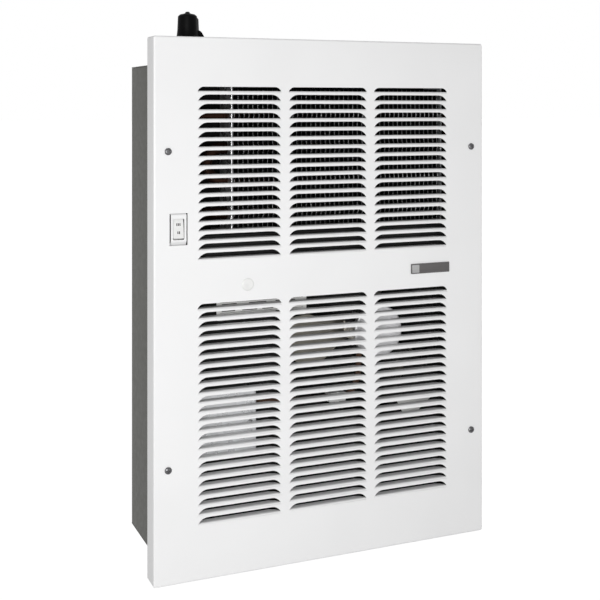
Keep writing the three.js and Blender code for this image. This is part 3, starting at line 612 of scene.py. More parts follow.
WHITE_COAT = powder_coat("white powder coat", (0.87, 0.87, 0.872), 0.36)
GREY_COAT = powder_coat("grey powder coat", (0.088, 0.088, 0.078), 0.5)
GALVANISED = zinc_sheet("galvanised sheet", (0.36, 0.37, 0.38), 0.42, 7)
PALE_ZINC = zinc_sheet("pale galvanised sheet", (0.62, 0.63, 0.64), 0.36, 9)
# Painted shade: a near-black sheet for the deck, shelf, fan ring, bracket arms and the can's inside, where the
# heater lies in shadow.
SHADE_BLACK_SHEET = shade_black_coat("black coat as painted shade")
DARK_ZINC = bright_metal("dark zinc", (0.16, 0.16, 0.165), 0.36)
BRIGHT_ZINC = bright_metal("bright zinc plate", (0.80, 0.80, 0.81), 0.24, (1, 0.08, 1))
DRAWN_STEEL = bright_metal("drawn motor shell", (0.74, 0.74, 0.75), 0.52)
PLAIN_STEEL = bright_metal("ground steel", (0.58, 0.58, 0.59), 0.28, (1, 0.05, 1))
FIN_FOIL_PAINTED_SHADE = fin_foil_painted_shade("aluminium fin foil, painted shade")
FAN_METAL = bright_metal("stamped blade sheet", (0.60, 0.565, 0.50), 0.38, (0.1, 1, 1), 0.1)
# Painted shade: the copper's colour is darkened nearly to black for the unlit inside of the can; its darker
# patches are handling marks.
COPPER_PAINTED_SHADE = aged_metal("copper darkened as painted shade", (0.042, 0.02, 0.014), (0.018, 0.012, 0.01), 0.6)
BARE_BRASS = aged_metal("bare brass", (0.62, 0.47, 0.22), (0.36, 0.25, 0.10), 0.34)
BRONZE = aged_metal("sintered bronze", (0.34, 0.20, 0.09), (0.16, 0.09, 0.05), 0.55)
STACKED_STEEL = laminations("stacked steel")
BLACK_CAP = black_polyethylene("black polyethylene")
BLACK_PLASTIC = moulded("black moulded plastic", (0.016, 0.016, 0.017), 0.45)
WHITE_PLASTIC = moulded("white moulded plastic", (0.82, 0.82, 0.81), 0.32)
GREEN_PAINT = powder_coat("green paint", (0.03, 0.16, 0.05), 0.5)
BROWN_SLEEVE = woven_sleeve("brown sleeving", (0.085, 0.042, 0.024))
PLATE_INK = moulded("dark print", (0.035, 0.035, 0.035), 0.6)
LABEL = powder_coat("pale foil label", (0.66, 0.66, 0.645), 0.42)
BADGE_METAL = bright_metal("dark brushed badge", (0.115, 0.11, 0.11), 0.40, (0.03, 1, 1), 0.04)
BADGE_LIGHT = bright_metal("pale brushed badge", (0.36, 0.36, 0.36), 0.42, (0.03, 1, 1), 0.04)


# ---------------------------------------------------------------- front cover

def louvres():
    """Each louvre's middle, sill height, opening height and corner length."""
    found = []
    for bank in BANKS:
        for row in range(bank["rows"]):
            sill = bank["bottom"] + (bank["rows"] - 1 - row) * LOUVRE_PITCH
            height = LOUVRE_HEIGHT if row else bank["first_height"]
            corner = LOUVRE_CORNER if row else FIRST_ROW_CORNER
            for x in LOUVRE_COLUMNS:
                found.append((x, sill, height, corner))
    return found


def corner_circle(height, corner):
    """The radius of an opening's corners, and how far out of the louvre's middle they start."""
    return (corner ** 2 + height ** 2) / (2 * height), LOUVRE_WIDTH / 2 - corner


def louvre_hole(x, sill, height, corner, steps=9):
    """A louvre's opening: straight along the sill and the top edge, with an arc down at each end."""
    radius, inner = corner_circle(height, corner)
    first = math.asin(min(corner / radius, 1.0))
    if radius < height:
        first = math.pi - first
    angles = [first * (1 - s / steps) for s in range(steps + 1)]
    right = [(inner + radius * math.sin(a), height - radius + radius * math.cos(a)) for a in angles]
    return [(x + u, sill + v) for u, v in right] + [(x - u, sill + v) for u, v in reversed(right)]


def blade_profile():
    """The blade's section as (depth, rise) pairs: it curls in from the sill, then runs straight."""
    curl = [(BLADE_BEND * aside, BLADE_BEND * along) for along, aside in bend(BLADE_CURL, 6)]
    start = curl[-1]
    straight = [(start[0] + (BLADE_DEPTH - start[0]) * t, start[1] + (BLADE_RISE - start[1]) * t)
                for t in (0.34, 0.67, 1)]
    return curl + straight


def blade_stations(height, corner):
    """The blade's half-width at each point of its section; it was sheared from the opening."""
    profile = blade_profile()
    lengths = [0]
    for (y0, z0), (y1, z1) in zip(profile, profile[1:]):
        lengths.append(lengths[-1] + math.hypot(y1 - y0, z1 - z0))
    radius, inner = corner_circle(height, corner)
    stations = []
    for (depth, rise), length in zip(profile, lengths):
        level = height * length / lengths[-1]
        reach = math.sqrt(max(radius ** 2 - (level - height + radius) ** 2, 0))
        stations.append((inner + reach, depth, rise))
    return stations


def cover_outline(grow=0.0):
    """The outline of the cover's flat face, or of the rim that far outside it."""
    wide = COVER_HIGH.x - COVER_BEND + grow
    high = COVER_HIGH.z - COVER_BEND + grow
    return centred(0, 0, wide, high, COVER_CORNER + grow)


def cover_holes():
    half_x, half_z = SWITCH_WINDOW[0] / 2, SWITCH_WINDOW[1] / 2
    plug = cad_middle("hole_plug")
    holes = [louvre_hole(*louvre) for louvre in louvres()]
    holes.append(centred(SWITCH_X, SWITCH_Z, half_x, half_z, 0.5))
    holes.append(circle(plug.x, plug.z, PLUG_HOLE))
    for corner in CORNER_SIDES:
        screw = cad_middle(f"cover_screw_{corner}")
        holes.append(circle(screw.x, screw.z, COVER_SCREW_HOLE, 16))
    return holes


def add_blade(bm, near, x, sill, height, corner):
    """Hangs a louvre's blade on the sill of its opening."""
    stations = blade_stations(height, corner)
    rows = [[near[round(x + side * stations[0][0], 2), round(sill, 2)] for side in (-1, 1)]]
    for half, depth, rise in stations[1:]:
        rows.append([bm.verts.new((x + side * half, FACE_Y + depth, sill + rise)) for side in (-1, 1)])
    skin(bm, rows, closed=False)


def add_rim(bm, border):
    """Folds the face's border back all round."""
    rim = [(COVER_BEND * along, COVER_BEND * aside) for along, aside in bend(90, 6)[1:]]
    rim.append((COVER_BEND, RIM_Y - FACE_Y))
    rings = [[bm.verts.new((p[0], FACE_Y + back, p[1])) for p in cover_outline(grow)] for grow, back in rim]
    skin(bm, [border, *rings])


def front_cover():
    """One sheet: the pierced face, its louvre blades and the rim folded back all round."""
    outline = cover_outline()
    corners, triangles = filled(outline, cover_holes())
    bm = bmesh.new()
    verts = [bm.verts.new((p.x, FACE_Y, p.y)) for p in corners]
    for triangle in triangles:
        bm.faces.new([verts[i] for i in triangle])
    near = {(round(p.x, 2), round(p.y, 2)): v for p, v in zip(corners, verts)}
    for louvre in louvres():
        add_blade(bm, near, *louvre)
    add_rim(bm, [near[round(p[0], 2), round(p[1], 2)] for p in outline])
    tidy(bm)
    middle = min(bm.faces, key=lambda f: abs(f.calc_center_median().y - FACE_Y))
    if middle.normal.y > 0:
        bmesh.ops.reverse_faces(bm, faces=bm.faces)
    made = piece("front_cover", bm, WHITE_COAT, bevel=0.15, segments=1, thickness=SHEET)
    for face in made.data.polygons:
        face.use_smooth = abs(face.normal.y) < 0.9999


def cover_screw(node):
    """Phillips pan-head screw."""
    low, high, middle = cad_place(node)
    radius, dome_rise, shank = (high.x - low.x) / 2, 1.98, 2
    tip, seat = low.y, low.y + 2.4
    dome = [(radius * along, tip + dome_rise * aside) for along, aside in bend(90, 8)]
    head = turned([*dome, (radius, seat), (shank, seat), (shank, high.y - 2), (0, high.y)],
                  (middle.x, 0, middle.z))
    wing, slot_half, deep = 0.56 * radius, 0.55, tip + 1.5
    cross = [prism(centred(middle.x, middle.z, a, b), tip - 1, deep)
             for a, b in ((wing, slot_half), (slot_half, wing))]
    piece(node, boolean(head, cross), DARK_ZINC, bevel=0.1, segments=1)


def hole_plug():
    """Snap-in button that blanks the hole in the middle of the cover."""
    low, high, middle = cad_place("hole_plug")
    radius = (high.x - low.x) / 2
    stem, bore = PLUG_HOLE - 0.2, PLUG_HOLE - 1.2
    profile = [(0, low.y + 0.1), (radius - 2, low.y), (radius - 0.6, low.y + 0.15),
               (radius, low.y + 0.6), (radius, low.y + 0.8), (stem, low.y + 0.8), (stem, high.y),
               (bore, high.y), (bore, low.y + 1.6), (0, low.y + 1.6)]
    piece("hole_plug", turned(profile, (middle.x, 0, middle.z)), WHITE_PLASTIC, bevel=0)


def badge():
    """Blank brushed plate with a paler square at its left end."""
    low, high = cad_box("badge_plate")
    face = low.y + 0.4
    outline = rectangle(low.x, high.x, low.z, high.z, 0.8)
    piece("badge_plate", prism(outline, face, high.y), BADGE_METAL, "plate", bevel=0.15)
    square = rectangle(low.x + 1.5, low.x + 12.5, low.z + 1.5, high.z - 1.5, 0.5)
    piece("badge_plate", prism(square, low.y, face + 0.2), BADGE_LIGHT, "square", bevel=0.12)


front_cover()
for corner_name in CORNER_SIDES:
    cover_screw(f"cover_screw_{corner_name}")
hole_plug()
badge()


# ---------------------------------------------------------------- rocker switch

def switch_bracket():
    """Hat-shaped bracket: a raised plate with the switch's window, sloped ends and feet on the can."""
    half_x, half_z = SWITCH_WINDOW[0] / 2 - 1.5, SWITCH_WINDOW[1] / 2 - 0.3
    plate_top, plate_bottom, slope = 17.4, -14.6, 3.6
    low, high = cad_box("switch_bracket")
    back, front, foot = high.y, low.y, high.z - SWITCH_Z
    profile = rounded([(back, foot), (back, half_z), (front + slope, half_z), (front, plate_top),
                       (front, plate_bottom), (front + slope, -half_z), (back, -half_z), (back, -foot)], 1)
    shifted = [(p[0], p[1] + SWITCH_Z) for p in thick(profile, -SHEET)]
    hat = prism(shifted, SWITCH_X - half_x, SWITCH_X + half_x, "X")
    feet = [
        block(low.x, SWITCH_X - half_x + 1, back - SHEET, back,
              *sorted((SWITCH_Z + side * (half_z + 3), SWITCH_Z + side * foot)))
        for side in (-1, 1)
    ]
    hole_x, hole_z = ROCKER_SIZE[0] / 2 + 0.7, ROCKER_HOLE_HALF_HEIGHT
    window = prism(centred(SWITCH_X, SWITCH_Z, hole_x, hole_z, 1.5), front - 2, front + 4)
    piece("switch_bracket", merged(boolean(hat, [window]), *feet), WHITE_COAT)


def switch_rocker():
    """Rocker with a slightly hollow face, and three and two bars for its two speeds."""
    reach, rise, sag = ROCKER_SIZE[1] / 2, 7.6, 0.6
    radius = math.hypot(reach, rise)
    start = math.atan2(rise, reach)
    side = [(radius * math.sin(start * f), radius * math.cos(start * f)) for f in (1, 0.8, 0.6, 0.4, 0.2)]
    levels = [reach * s / 6 for s in range(5, -1, -1)]
    face = [(rise + sag * math.cos(math.pi / 2 * v / reach), v) for v in levels]
    upper = [*face[::-1], *side, (-1.5, 4), (-2.5, 2)]
    lower = [(u, -v) for u, v in upper[1:]][::-1]
    section = [(-u, v) for u, v in upper + lower]
    half = ROCKER_SIZE[0] / 2
    turn = Matrix.Translation(ROCKER_PIVOT) @ Matrix.Rotation(math.radians(ROCKER_TIP), 4, "X")
    body = prism(section, -half, half, "X")
    body.transform(turn)
    piece("switch_rocker", body, WHITE_PLASTIC, "paddle", bevel=0.5, segments=3)
    marks = []
    for x, z in ((-2, 5), (0, 5), (2, 5), (-1, -5), (1, -5)):
        mark = prism(centred(x, z, 0.6, 1.6, 0.2), -rise - 0.62, -rise - 0.2)
        mark.transform(turn)
        marks.append(mark)
    piece("switch_rocker", merged(*marks), PLATE_INK, "marks", bevel=0)


def switch_body():
    """Snap-in case behind the plate, hollow for the rocker, with three blade terminals."""
    low, high = cad_box("switch_body")
    case_back = high.y - 5
    half_x, half_z = ROCKER_SIZE[0] / 2 + 0.3, 14.6
    pocket = prism(centred(SWITCH_X, SWITCH_Z, half_x, half_z), low.y - 1, low.y + 11)
    case = boolean(prism(rectangle(low.x, high.x, low.z, high.z, 1), low.y, case_back), [pocket])
    piece("switch_body", case, BLACK_PLASTIC, "case", bevel=0.4)
    tabs = [block(SWITCH_X - 0.4, SWITCH_X + 0.4, case_back - 0.5, high.y, z - 2.4, z + 2.4)
            for z in (SWITCH_Z - 9, SWITCH_Z, SWITCH_Z + 9)]
    piece("switch_body", merged(*tabs), BARE_BRASS, "terminals", bevel=0.15)


switch_bracket()
switch_rocker()
switch_body()


# ---------------------------------------------------------------- wall can

def shade_can_inside(sheet):
    """Gives the faces inside the can the near-black coat: painted shade for the shadow inside the can."""
    sheet.data.materials.append(SHADE_BLACK_SHEET)
    for face in sheet.data.polygons:
        at = face.center / MM
        within_sides = abs(at.x) < CAN_HIGH.x - SHEET / 2 and abs(at.z) < CAN_TOP - SHEET / 2
        if within_sides and CAN_FRONT_Y + SHEET / 2 < at.y < -SHEET / 2:
            face.material_index = 1


def can_wrapper():
    """Back, two sides and their front flanges, bent from one sheet."""
    x, front = CAN_HIGH.x, CAN_FRONT_Y
    lip = x - CAN_FLANGE
    profile = rounded([(-lip, front), (-x, front), (-x, 0), (x, 0), (x, front), (lip, front)], 2.2)
    sheet = prism(thick(profile, -SHEET), CAN_LOW.z, CAN_HIGH.z, "Z")
    keyholes = []
    for hole_x in KEYHOLE_X:
        for z in KEYHOLE_Z:
            keyholes.append(drill(hole_x, 0, z, 4))
            keyholes.append(block(hole_x - 2.2, hole_x + 2.2, -4, 2, z, z + 9))
    shade_can_inside(piece("can_wrapper", boolean(sheet, keyholes), GREY_COAT, bevel=0.2))


def can_end(node, side, hole_at):
    """Flat end with a front lip and a tab inside each side."""
    low, high = cad_box(node)
    outer = high.z if side > 0 else low.z
    inner = outer - side * SHEET
    lip_end = outer - side * CAN_FLANGE
    plane = prism(rectangle(low.x, high.x, low.y, high.y, 1.5), min(outer, inner), max(outer, inner), "Z")
    lip_x = high.x - CAN_FLANGE - 0.3
    tab_x = high.x - SHEET - 0.3
    rows = sorted((outer - side * 0.2, lip_end))
    lip = prism(rectangle(-lip_x, lip_x, *rows, 3), low.y, low.y + SHEET)
    tabs = [prism(rectangle(-95, -8, *rows, 3), *sorted((s * (tab_x - SHEET), s * tab_x)), "X")
            for s in (-1, 1)]
    holes = [drill(x, y, outer, radius, "Z", 32) for x, y, radius in hole_at]
    shade_can_inside(piece(node, merged(boolean(plane, holes), lip, *tabs), GREY_COAT, bevel=0.2))


def cover_bracket(node, side):
    """C-shaped bracket that the cover's screw bites into."""
    low, high = cad_box(node)
    root, outer = (low.x, high.x) if side > 0 else (high.x, low.x)
    profile = rounded([(outer, high.y), (root, high.y), (root, low.y), (outer, low.y)], 1.6)
    turn = SHEET if side < 0 else -SHEET
    channel = prism(thick(profile, turn), low.z, high.z, "Z")
    screw = cad_middle(node.replace("bracket", "screw"))
    hole = drill(screw.x, low.y, screw.z, COVER_SCREW_HOLE, steps=20)
    piece(node, boolean(channel, [hole]), GALVANISED, bevel=0.2)


can_wrapper()
can_end("can_top", 1, [(stub.x, stub.y, STUB_HOLE) for stub in (SUPPLY, RETURN)])
can_end("can_bottom", -1, [(CABLE.x, CABLE.y, CABLE_HOLE)])
for corner_name, corner_side in CORNER_SIDES.items():
    cover_bracket(f"cover_bracket_{corner_name}", corner_side)


# ---------------------------------------------------------------- coil

def fin_sheet():
    """One flat fin with a hole and rings of points round each tube: points and triangles."""
    collar_rings = (COLLAR_RADIUS, 10.5, 12.5, 15, 18)
    width, height = COIL_HIGH.y - COIL_LOW.y, COIL_HIGH.z - COIL_LOW.z
    across = [COIL_LOW.y + width * i / 14 for i in range(15)]
    levels = [COIL_LOW.z + height * i / 74 for i in range(75)]
    points = [Vector((y, z)) for y in across for z in levels
              if all(math.hypot(y - COIL_Y, z - t) > collar_rings[-1] + 1 for t in TUBE_LEVELS)]
    faces = [[]]
    for t in TUBE_LEVELS:
        for i, radius in enumerate(collar_rings):
            ring = [Vector(p) for p in circle(COIL_Y, t, radius, 20, 0.1 * i)]
            if i == 0:
                faces.append(list(range(len(points), len(points) + len(ring))))
            points.extend(ring)
    faces[0] = list(range(len(points), len(points) + 4))
    points.extend(Vector(p) for p in rectangle(COIL_LOW.y, COIL_HIGH.y, COIL_LOW.z, COIL_HIGH.z))
    found = delaunay_2d_cdt(points, [], faces, 1, 1e-4)
    triangles = [t for t, inside in zip(found[2], found[5]) if inside == [0]]
    return found[0], triangles


def fin_bulge(y, z):
    """How far the foil stands sideways: rippled, flared round tubes and crimped in front of them."""
    ripple = 0.35 * math.sin((y - COIL_LOW.y) * math.pi / 5.5)
    collar = 0
    for t in TUBE_LEVELS:
        distance = math.hypot(y - COIL_Y, z - t)
        collar += 1.6 * max(0, 1 - (distance - COLLAR_RADIUS) / 6.5)
        edge = max(0, 1 - (y - COIL_LOW.y) / 9)
        collar += 1.9 * edge * math.exp(-((z - t) / 4.5) ** 2)
    return ripple + collar


def coil_fins():
    corners, triangles = fin_sheet()
    count = int((COIL_HIGH.x - COIL_LOW.x) / FIN_PITCH)
    bm = bmesh.new()
    for fin in range(count):
        x = COIL_LOW.x + 1 + fin * (COIL_HIGH.x - COIL_LOW.x - 5) / (count - 1)
        verts = [bm.verts.new((x + fin_bulge(p.x, p.y), p.x, p.y)) for p in corners]
        for triangle in triangles:
            bm.faces.new([verts[i] for i in triangle])
    piece("coil_fins", bm, FIN_FOIL_PAINTED_SHADE, bevel=0, thickness=0.25)


def coil_end_plate(node, side):
    """Channel that carries the coil, with a foot, a top flange, tube holes and a front hem in brighter zinc, a
    painted highlight along its edge.
    """
    low, high = cad_box(node)
    web, flange = (low.x, high.x) if side > 0 else (high.x, low.x)
    profile = rounded([(flange, low.z), (web, low.z), (web, high.z), (flange, high.z)], 2)
    channel = prism(thick(profile, SHEET if side < 0 else -SHEET), low.y, high.y)
    holes = [drill(web, COIL_Y, level, TUBE_RADIUS + 1, "X", 28) for level in TUBE_LEVELS]
    piece(node, boolean(channel, holes), PALE_ZINC, bevel=0.2)
    # Painted highlight: the hem takes brighter, shinier zinc than the plate, so the front edge reads as a bright
    # line.
    hem = block(*sorted((web, web + side * 2.2)), low.y, low.y + 1.4, low.z + 2, high.z - 2)
    piece(node, hem, BRIGHT_ZINC, "hem", bevel=0.5)


def coil_tube():
    """One copper tube: up-turned ends, four passes and three return bends, and braze at each plate."""
    high = cad_box("coil_tube")[1]
    bend_radius = (TUBE_LEVELS[0] - TUBE_LEVELS[1]) / 2
    right, left = high.x - TUBE_RADIUS, COIL_LOW.x - 7.5 - bend_radius
    z1, z2, z3, z4 = TUBE_LEVELS
    corners = [
        (SUPPLY.x, COIL_Y, high.z), (SUPPLY.x, COIL_Y, z1), (right, COIL_Y, z1), (right, COIL_Y, z2),
        (left, COIL_Y, z2), (left, COIL_Y, z3), (right, COIL_Y, z3), (right, COIL_Y, z4),
        (RETURN.x, COIL_Y, z4), (RETURN.x, RETURN.y, z4), (RETURN.x, RETURN.y, high.z),
    ]
    tube = sweep(rounded(corners, bend_radius - 0.05, 10), TUBE_RADIUS - 0.1, 24)
    piece("coil_tube", tube, COPPER_PAINTED_SHADE, bevel=0)
    bands = []
    for x in (COIL_LOW.x - 6, COIL_HIGH.x + 4):
        for level in TUBE_LEVELS:
            band = [(8, -1.5), (8.6, -1), (8.7, 0), (8.5, 1.2), (8, 1.6)]
            bands.append(turned(band, (x, COIL_Y, level), "X", 24, closed=True))
    piece("coil_tube", merged(*bands), COPPER_PAINTED_SHADE, "braze", bevel=0)


coil_fins()
coil_end_plate("coil_end_plate_left", -1)
coil_end_plate("coil_end_plate_right", 1)
coil_tube()


# ---------------------------------------------------------------- pipe stubs, caps and bleed valve

def pipe_fitting(node):
    """Sweat adapter with a hex and a plain nose."""
    low, high, middle = cad_place(node)
    top = high.z - low.z
    collar = [(7, 0), (10.2, 0), (10.5, 0.4), (10.5, 8), (7, 8)]
    nose = [(7, 20), (10.4, 20), (10.4, 21.5), (11, 22.5), (11, top - 1), (10.3, top), (7.6, top),
            (7, top - 0.6)]
    nut = [(7, 8), (12.5, 8), (12.5, 20), (7, 20)]
    parts = [turned(profile, (middle.x, middle.y, low.z), "Z", sides, closed=True)
             for profile, sides in ((collar, 40), (nose, 40), (nut, 6))]
    piece(node, merged(*parts), BARE_BRASS, bevel=0.3)


def pipe_cap(node):
    """Protective push-on cap: flared lip, tapering skirt, shallow cone, moulding nub and pull tab."""
    low, high = cad_box(node)
    fitting = cad_middle(node.replace("cap", "fitting"))
    at, top = (fitting.x, fitting.y, low.z), high.z - low.z
    skirt = rounded([(11.3, 0), (16.8, 0), (16.4, 1.4), (14, 5), (13.3, 12)], 1)
    dome = rounded([(13.1, 16), (12.5, 30), (9.6, 32.4), (3.4, 33.8), (2.4, top), (0, top)], 2.6, 6)
    inside = [(0, 29.4), (10.3, 29.4), (11.3, 27.8)]
    piece(node, turned(skirt + dome + inside, at, "Z", 96), BLACK_CAP, "dome", bevel=0)
    root, length, half_width, narrowing = 12, 9, 4.8, 0.25
    side = rounded([(root, 0), (root + length, 0), (root + length, 4), (19, 9), (16, 11.4), (root, 12.6)], 3)
    lug = prism(side, -half_width, half_width)
    for v in lug.verts:
        v.co.y *= 1 - narrowing * (v.co.x - root) / length
    lug.transform(Matrix.Translation(at))
    piece(node, lug, BLACK_CAP, "tab", bevel=0.8, segments=3)


def bleed_valve():
    """Small brass body with a pocket for its screw, which keeps its CAD shape."""
    low, high, middle = cad_place("bleed_valve")
    profile = [(3.5, high.y), (3.5, high.y - 3), (5, high.y - 3), (5, low.y + 0.6), (4.6, low.y),
               (3.3, low.y), (3.2, low.y + 6), (0, low.y + 6), (0, high.y)]
    piece("bleed_valve", turned(profile, (middle.x, 0, middle.z), steps=32), BARE_BRASS, "body", bevel=0.15)
    keep("bleed_screw", BARE_BRASS, bevel=0.15)


for pipe in ("supply", "return"):
    pipe_fitting(f"{pipe}_fitting")
    pipe_cap(f"{pipe}_cap")
bleed_valve()


# ---------------------------------------------------------------- shelf, data plate and fan deck

def coil_shelf():
    """Divider under the coil, with the apron that closes the front down to the fan."""
    low, high = cad_box("coil_shelf")
    top, shelf_z = high.z, high.z - SHEET
    profile = rounded([(high.y - 1, top), (low.y, top), (low.y, low.z)], 1.8)
    apron_x = (-188, 206)
    bent = prism(thick(profile, SHEET), *apron_x, "X")
    wings = [block(x0, x1, low.y + 1.5, high.y - 1, shelf_z, top)
             for x0, x1 in ((low.x, apron_x[0] + 0.5), (apron_x[1] - 0.5, high.x))]
    holes = [drill(x, y, top, LEAD_HOLE, "Z") for x, y in LEAD_HOLES]
    lip = block(low.x, high.x, high.y - 2.5, high.y - 1.3, shelf_z - 3, shelf_z + 0.3)
    sheet = boolean(bent, [*wings, lip], "UNION")
    # Painted shade: the shelf and apron take the near-black coat for the shadow behind the louvres.
    piece("coil_shelf", boolean(sheet, holes), SHADE_BLACK_SHEET, bevel=0.2)


def data_plate():
    """Foil plate with ruled rows of plain dashes, which say nothing."""
    low, high = cad_box("rating_plate")
    sheet = prism(rectangle(low.x, high.x, low.z, high.z, 2), low.y, high.y)
    piece("rating_plate", sheet, LABEL, "foil", bevel=0.1)
    rows = []
    count, margin, indent = 9, 5, 7
    ink = (low.y - 0.04, low.y + 0.1)
    pitch = (high.z - low.z - 8) / count
    for row in range(count):
        z = low.z + margin + row * pitch
        rows.append(block(low.x + margin, high.x - margin, *ink, z, z + 0.5))
        dashes = 3 + row % 3
        width = (high.x - low.x - 2 * indent) / dashes
        for dash in range(dashes):
            x = low.x + indent + dash * width
            length = width * (0.55 + 0.1 * ((row + dash) % 3))
            rows.append(block(x, x + length, *ink, z + 1.7, z + 2.9))
    piece("rating_plate", merged(*rows), PLATE_INK, "rules", bevel=0)


def fan_deck():
    """Flat panel behind the fan, pierced for the ring."""
    ring_low, ring_high = cad_box("fan_ring")
    ring = (ring_high.x - ring_low.x) / 2 - 5
    low, high = cad_box("fan_deck")
    outline = rectangle(low.x, high.x, low.z, high.z, 2)
    panel = plate(outline, [circle(FAN_X, FAN_Z, ring, 72)], low.y, high.y)
    # Painted shade: the deck takes the near-black coat for the shadow behind the fan.
    piece("fan_deck", panel, SHADE_BLACK_SHEET, bevel=0.2)


def fan_ring():
    """Rolled inlet ring: a flange on the deck and a bell-mouthed collar round the blade tips."""
    low, high = cad_box("fan_ring")
    outer = (high.x - low.x) / 2
    inner = outer - 6
    profile = rounded([(outer, high.y), (inner, high.y), (inner, low.y)], 3, 6)
    ring = turned(thick(profile, SHEET), FAN_AT, steps=96, closed=True)
    # Painted shade: the ring takes the near-black coat for the shadow inside the heater.
    piece("fan_ring", ring, SHADE_BLACK_SHEET, bevel=0.2)


coil_shelf()
data_plate()
fan_deck()
fan_ring()


# ---------------------------------------------------------------- motor

def motor_bracket():
    """Two wide arms with slots and a bright pad, legs back to the deck and feet."""
    low, high = cad_box("motor_bracket")
    y, back, leg_half = low.y, high.y, 23
    half = [(24, 24), (48, 22), (100, 40), (126, 40), (BRACKET_REACH, leg_half)]
    points = []
    for sx, sz, order in ((1, 1, 1), (1, -1, -1), (-1, -1, 1), (-1, 1, -1)):
        points += [(sx * r, sz * t) for r, t in half[::order]]
    holes = [circle(0, 0, 12, 32)]
    holes += [centred(x, 0, 12, 9, 6) for x in (-78, 78)]
    arms = plate(rounded(points[::-1], 7, 4, closed=True), holes, y, y + BRACKET_SHEET)
    turn = Matrix.Translation(FAN_AT) @ Matrix.Rotation(math.radians(-BRACKET_TURN), 4, "Y")
    arms.transform(turn)
    # Painted shade: the arms take the near-black coat, while the legs of the same bracket keep bright zinc.
    piece("motor_bracket", arms, SHADE_BLACK_SHEET, "arms")
    pad = prism([(129, -160), (186, -160), (164, -178), (139, -178)], y - 0.5, y + 0.1)
    piece("motor_bracket", pad, LABEL, "pad", bevel=0.2)
    legs = []
    inner, outer, toe = BRACKET_REACH - BRACKET_SHEET, BRACKET_REACH, BRACKET_REACH + 5
    for side in (-1, 1):
        leg = block(*sorted((side * inner, side * outer)), y, back, -leg_half, leg_half)
        foot = block(*sorted((side * inner, side * toe)), back - BRACKET_SHEET, back, -leg_half, leg_half)
        legs.append(boolean(leg, [foot], "UNION"))
    both = merged(*legs)
    both.transform(turn)
    piece("motor_bracket", both, BRIGHT_ZINC, "legs")


def motor_shell():
    """Drawn shell and a flat-fronted end bell with a bearing boss."""
    low, high = cad_box("motor_housing")
    cap_low, cap_high = cad_box("motor_end_cap")
    radius, wall, bearing = (high.x - low.x) / 2, 1.5, 8.3
    back, front = high.y, cap_low.y
    shell_bend, bell_bend = 3, 2.5
    shell = [(radius, low.y), (radius, back - shell_bend)]
    shell += [(radius - shell_bend * aside, back - shell_bend + shell_bend * along)
              for along, aside in bend(90, 4)[1:]]
    shell += [(14, back), (12, back - 1.2), (bearing, back - 1.2), (bearing, back - 2.4),
              (radius - 3, back - 2.4), (radius - wall, back - 4), (radius - wall, low.y)]
    piece("motor_housing", turned(shell, FAN_AT, steps=72, closed=True), BRIGHT_ZINC, bevel=0.2)
    bell = [(0, front + 0.8), (9, front + 0.8), (10.5, front), (radius - bell_bend, front)]
    bell += [(radius - bell_bend + bell_bend * along, front + bell_bend * aside)
             for along, aside in bend(90, 6)[1:]]
    bell += [(radius, cap_high.y), (radius - wall, cap_high.y), (radius - wall, front + 3.2),
             (radius - 3, front + 1.6), (10, front + 1.6), (10, front + 7.5), (bearing, front + 7.5),
             (bearing, front + 2), (0, front + 2)]
    piece("motor_end_cap", turned(bell, FAN_AT, steps=72), DRAWN_STEEL, bevel=0)


motor_bracket()
motor_shell()
for inner_node, inner_material in (
    ("motor_stator", STACKED_STEEL), ("motor_rotor", STACKED_STEEL), ("motor_bearing_front", BRONZE),
    ("motor_bearing_rear", BRONZE), ("motor_shaft", PLAIN_STEEL),
):
    keep(inner_node, inner_material)


# ---------------------------------------------------------------- fan

def fan_blades():
    """Three cambered wings stamped with the centre plate, each pitched about its own radius."""
    plane = cad_box("fan_hub")[1].y - 2.5
    edge = [(16, 11), (40, 16), (72, 33), (98, 35), (113, 22)]
    smooth_edge = rounded([(0, 9), *edge, (114.5, 0)], 14, 8)
    wings = bmesh.new()
    for angle in BLADE_ANGLES:
        turn = (Matrix.Translation((FAN_X, plane, FAN_Z)) @ Matrix.Rotation(math.radians(-angle), 4, "Y")
                @ Matrix.Rotation(math.radians(BLADE_PITCH), 4, "X"))
        rows = []
        for r, half in [(p[0], p[1]) for p in smooth_edge if p[0] > 12]:
            strip = []
            for i in range(9):
                t = -1 + i / 4
                camber = 1.6 * (1 - t * t) * min(1, (r - 10) / 40) * min(1, half / 30)
                strip.append(wings.verts.new(turn @ Vector((r, camber, t * half))))
            rows.append(strip)
        skin(wings, rows, closed=False)
    bmesh.ops.remove_doubles(wings, verts=wings.verts, dist=0.01)
    tidy(wings)
    piece("fan_blades", wings, FAN_METAL, "wings", bevel=0.15, segments=1, thickness=1.2)
    centre = turned([(9.4, plane - 1.1), (27, plane - 1.1), (28, plane - 0.4), (28, plane + 0.4),
                     (27, plane + 0.8), (9.4, plane + 0.8)], FAN_AT, steps=64, closed=True)
    piece("fan_blades", centre, FAN_METAL, "spider", bevel=0.15)


def fan_hub():
    """Hub with a flange behind the blades, and three rivet heads in front of them."""
    low, high = cad_box("fan_hub")
    profile = [(4.3, low.y), (8.6, low.y), (9, low.y + 0.5), (9, high.y - 1.8), (16, high.y - 1.5),
               (16, high.y - 0.3), (15.6, high.y), (4.3, high.y)]
    hub = turned(profile, FAN_AT, closed=True)
    piece("fan_hub", hub, PLAIN_STEEL, "boss", bevel=0.2)
    head = [(0, -5.2), (1.8, -5.0), (2.3, -4.2), (2.3, -3.4), (0, -3.4)]
    rivets = [turned(head, (x, high.y, z), steps=20) for x, z in circle(FAN_X, FAN_Z, 12.5, 3)]
    piece("fan_hub", merged(*rivets), PLAIN_STEEL, "rivets", bevel=0)


fan_blades()
fan_hub()


# ---------------------------------------------------------------- wiring box

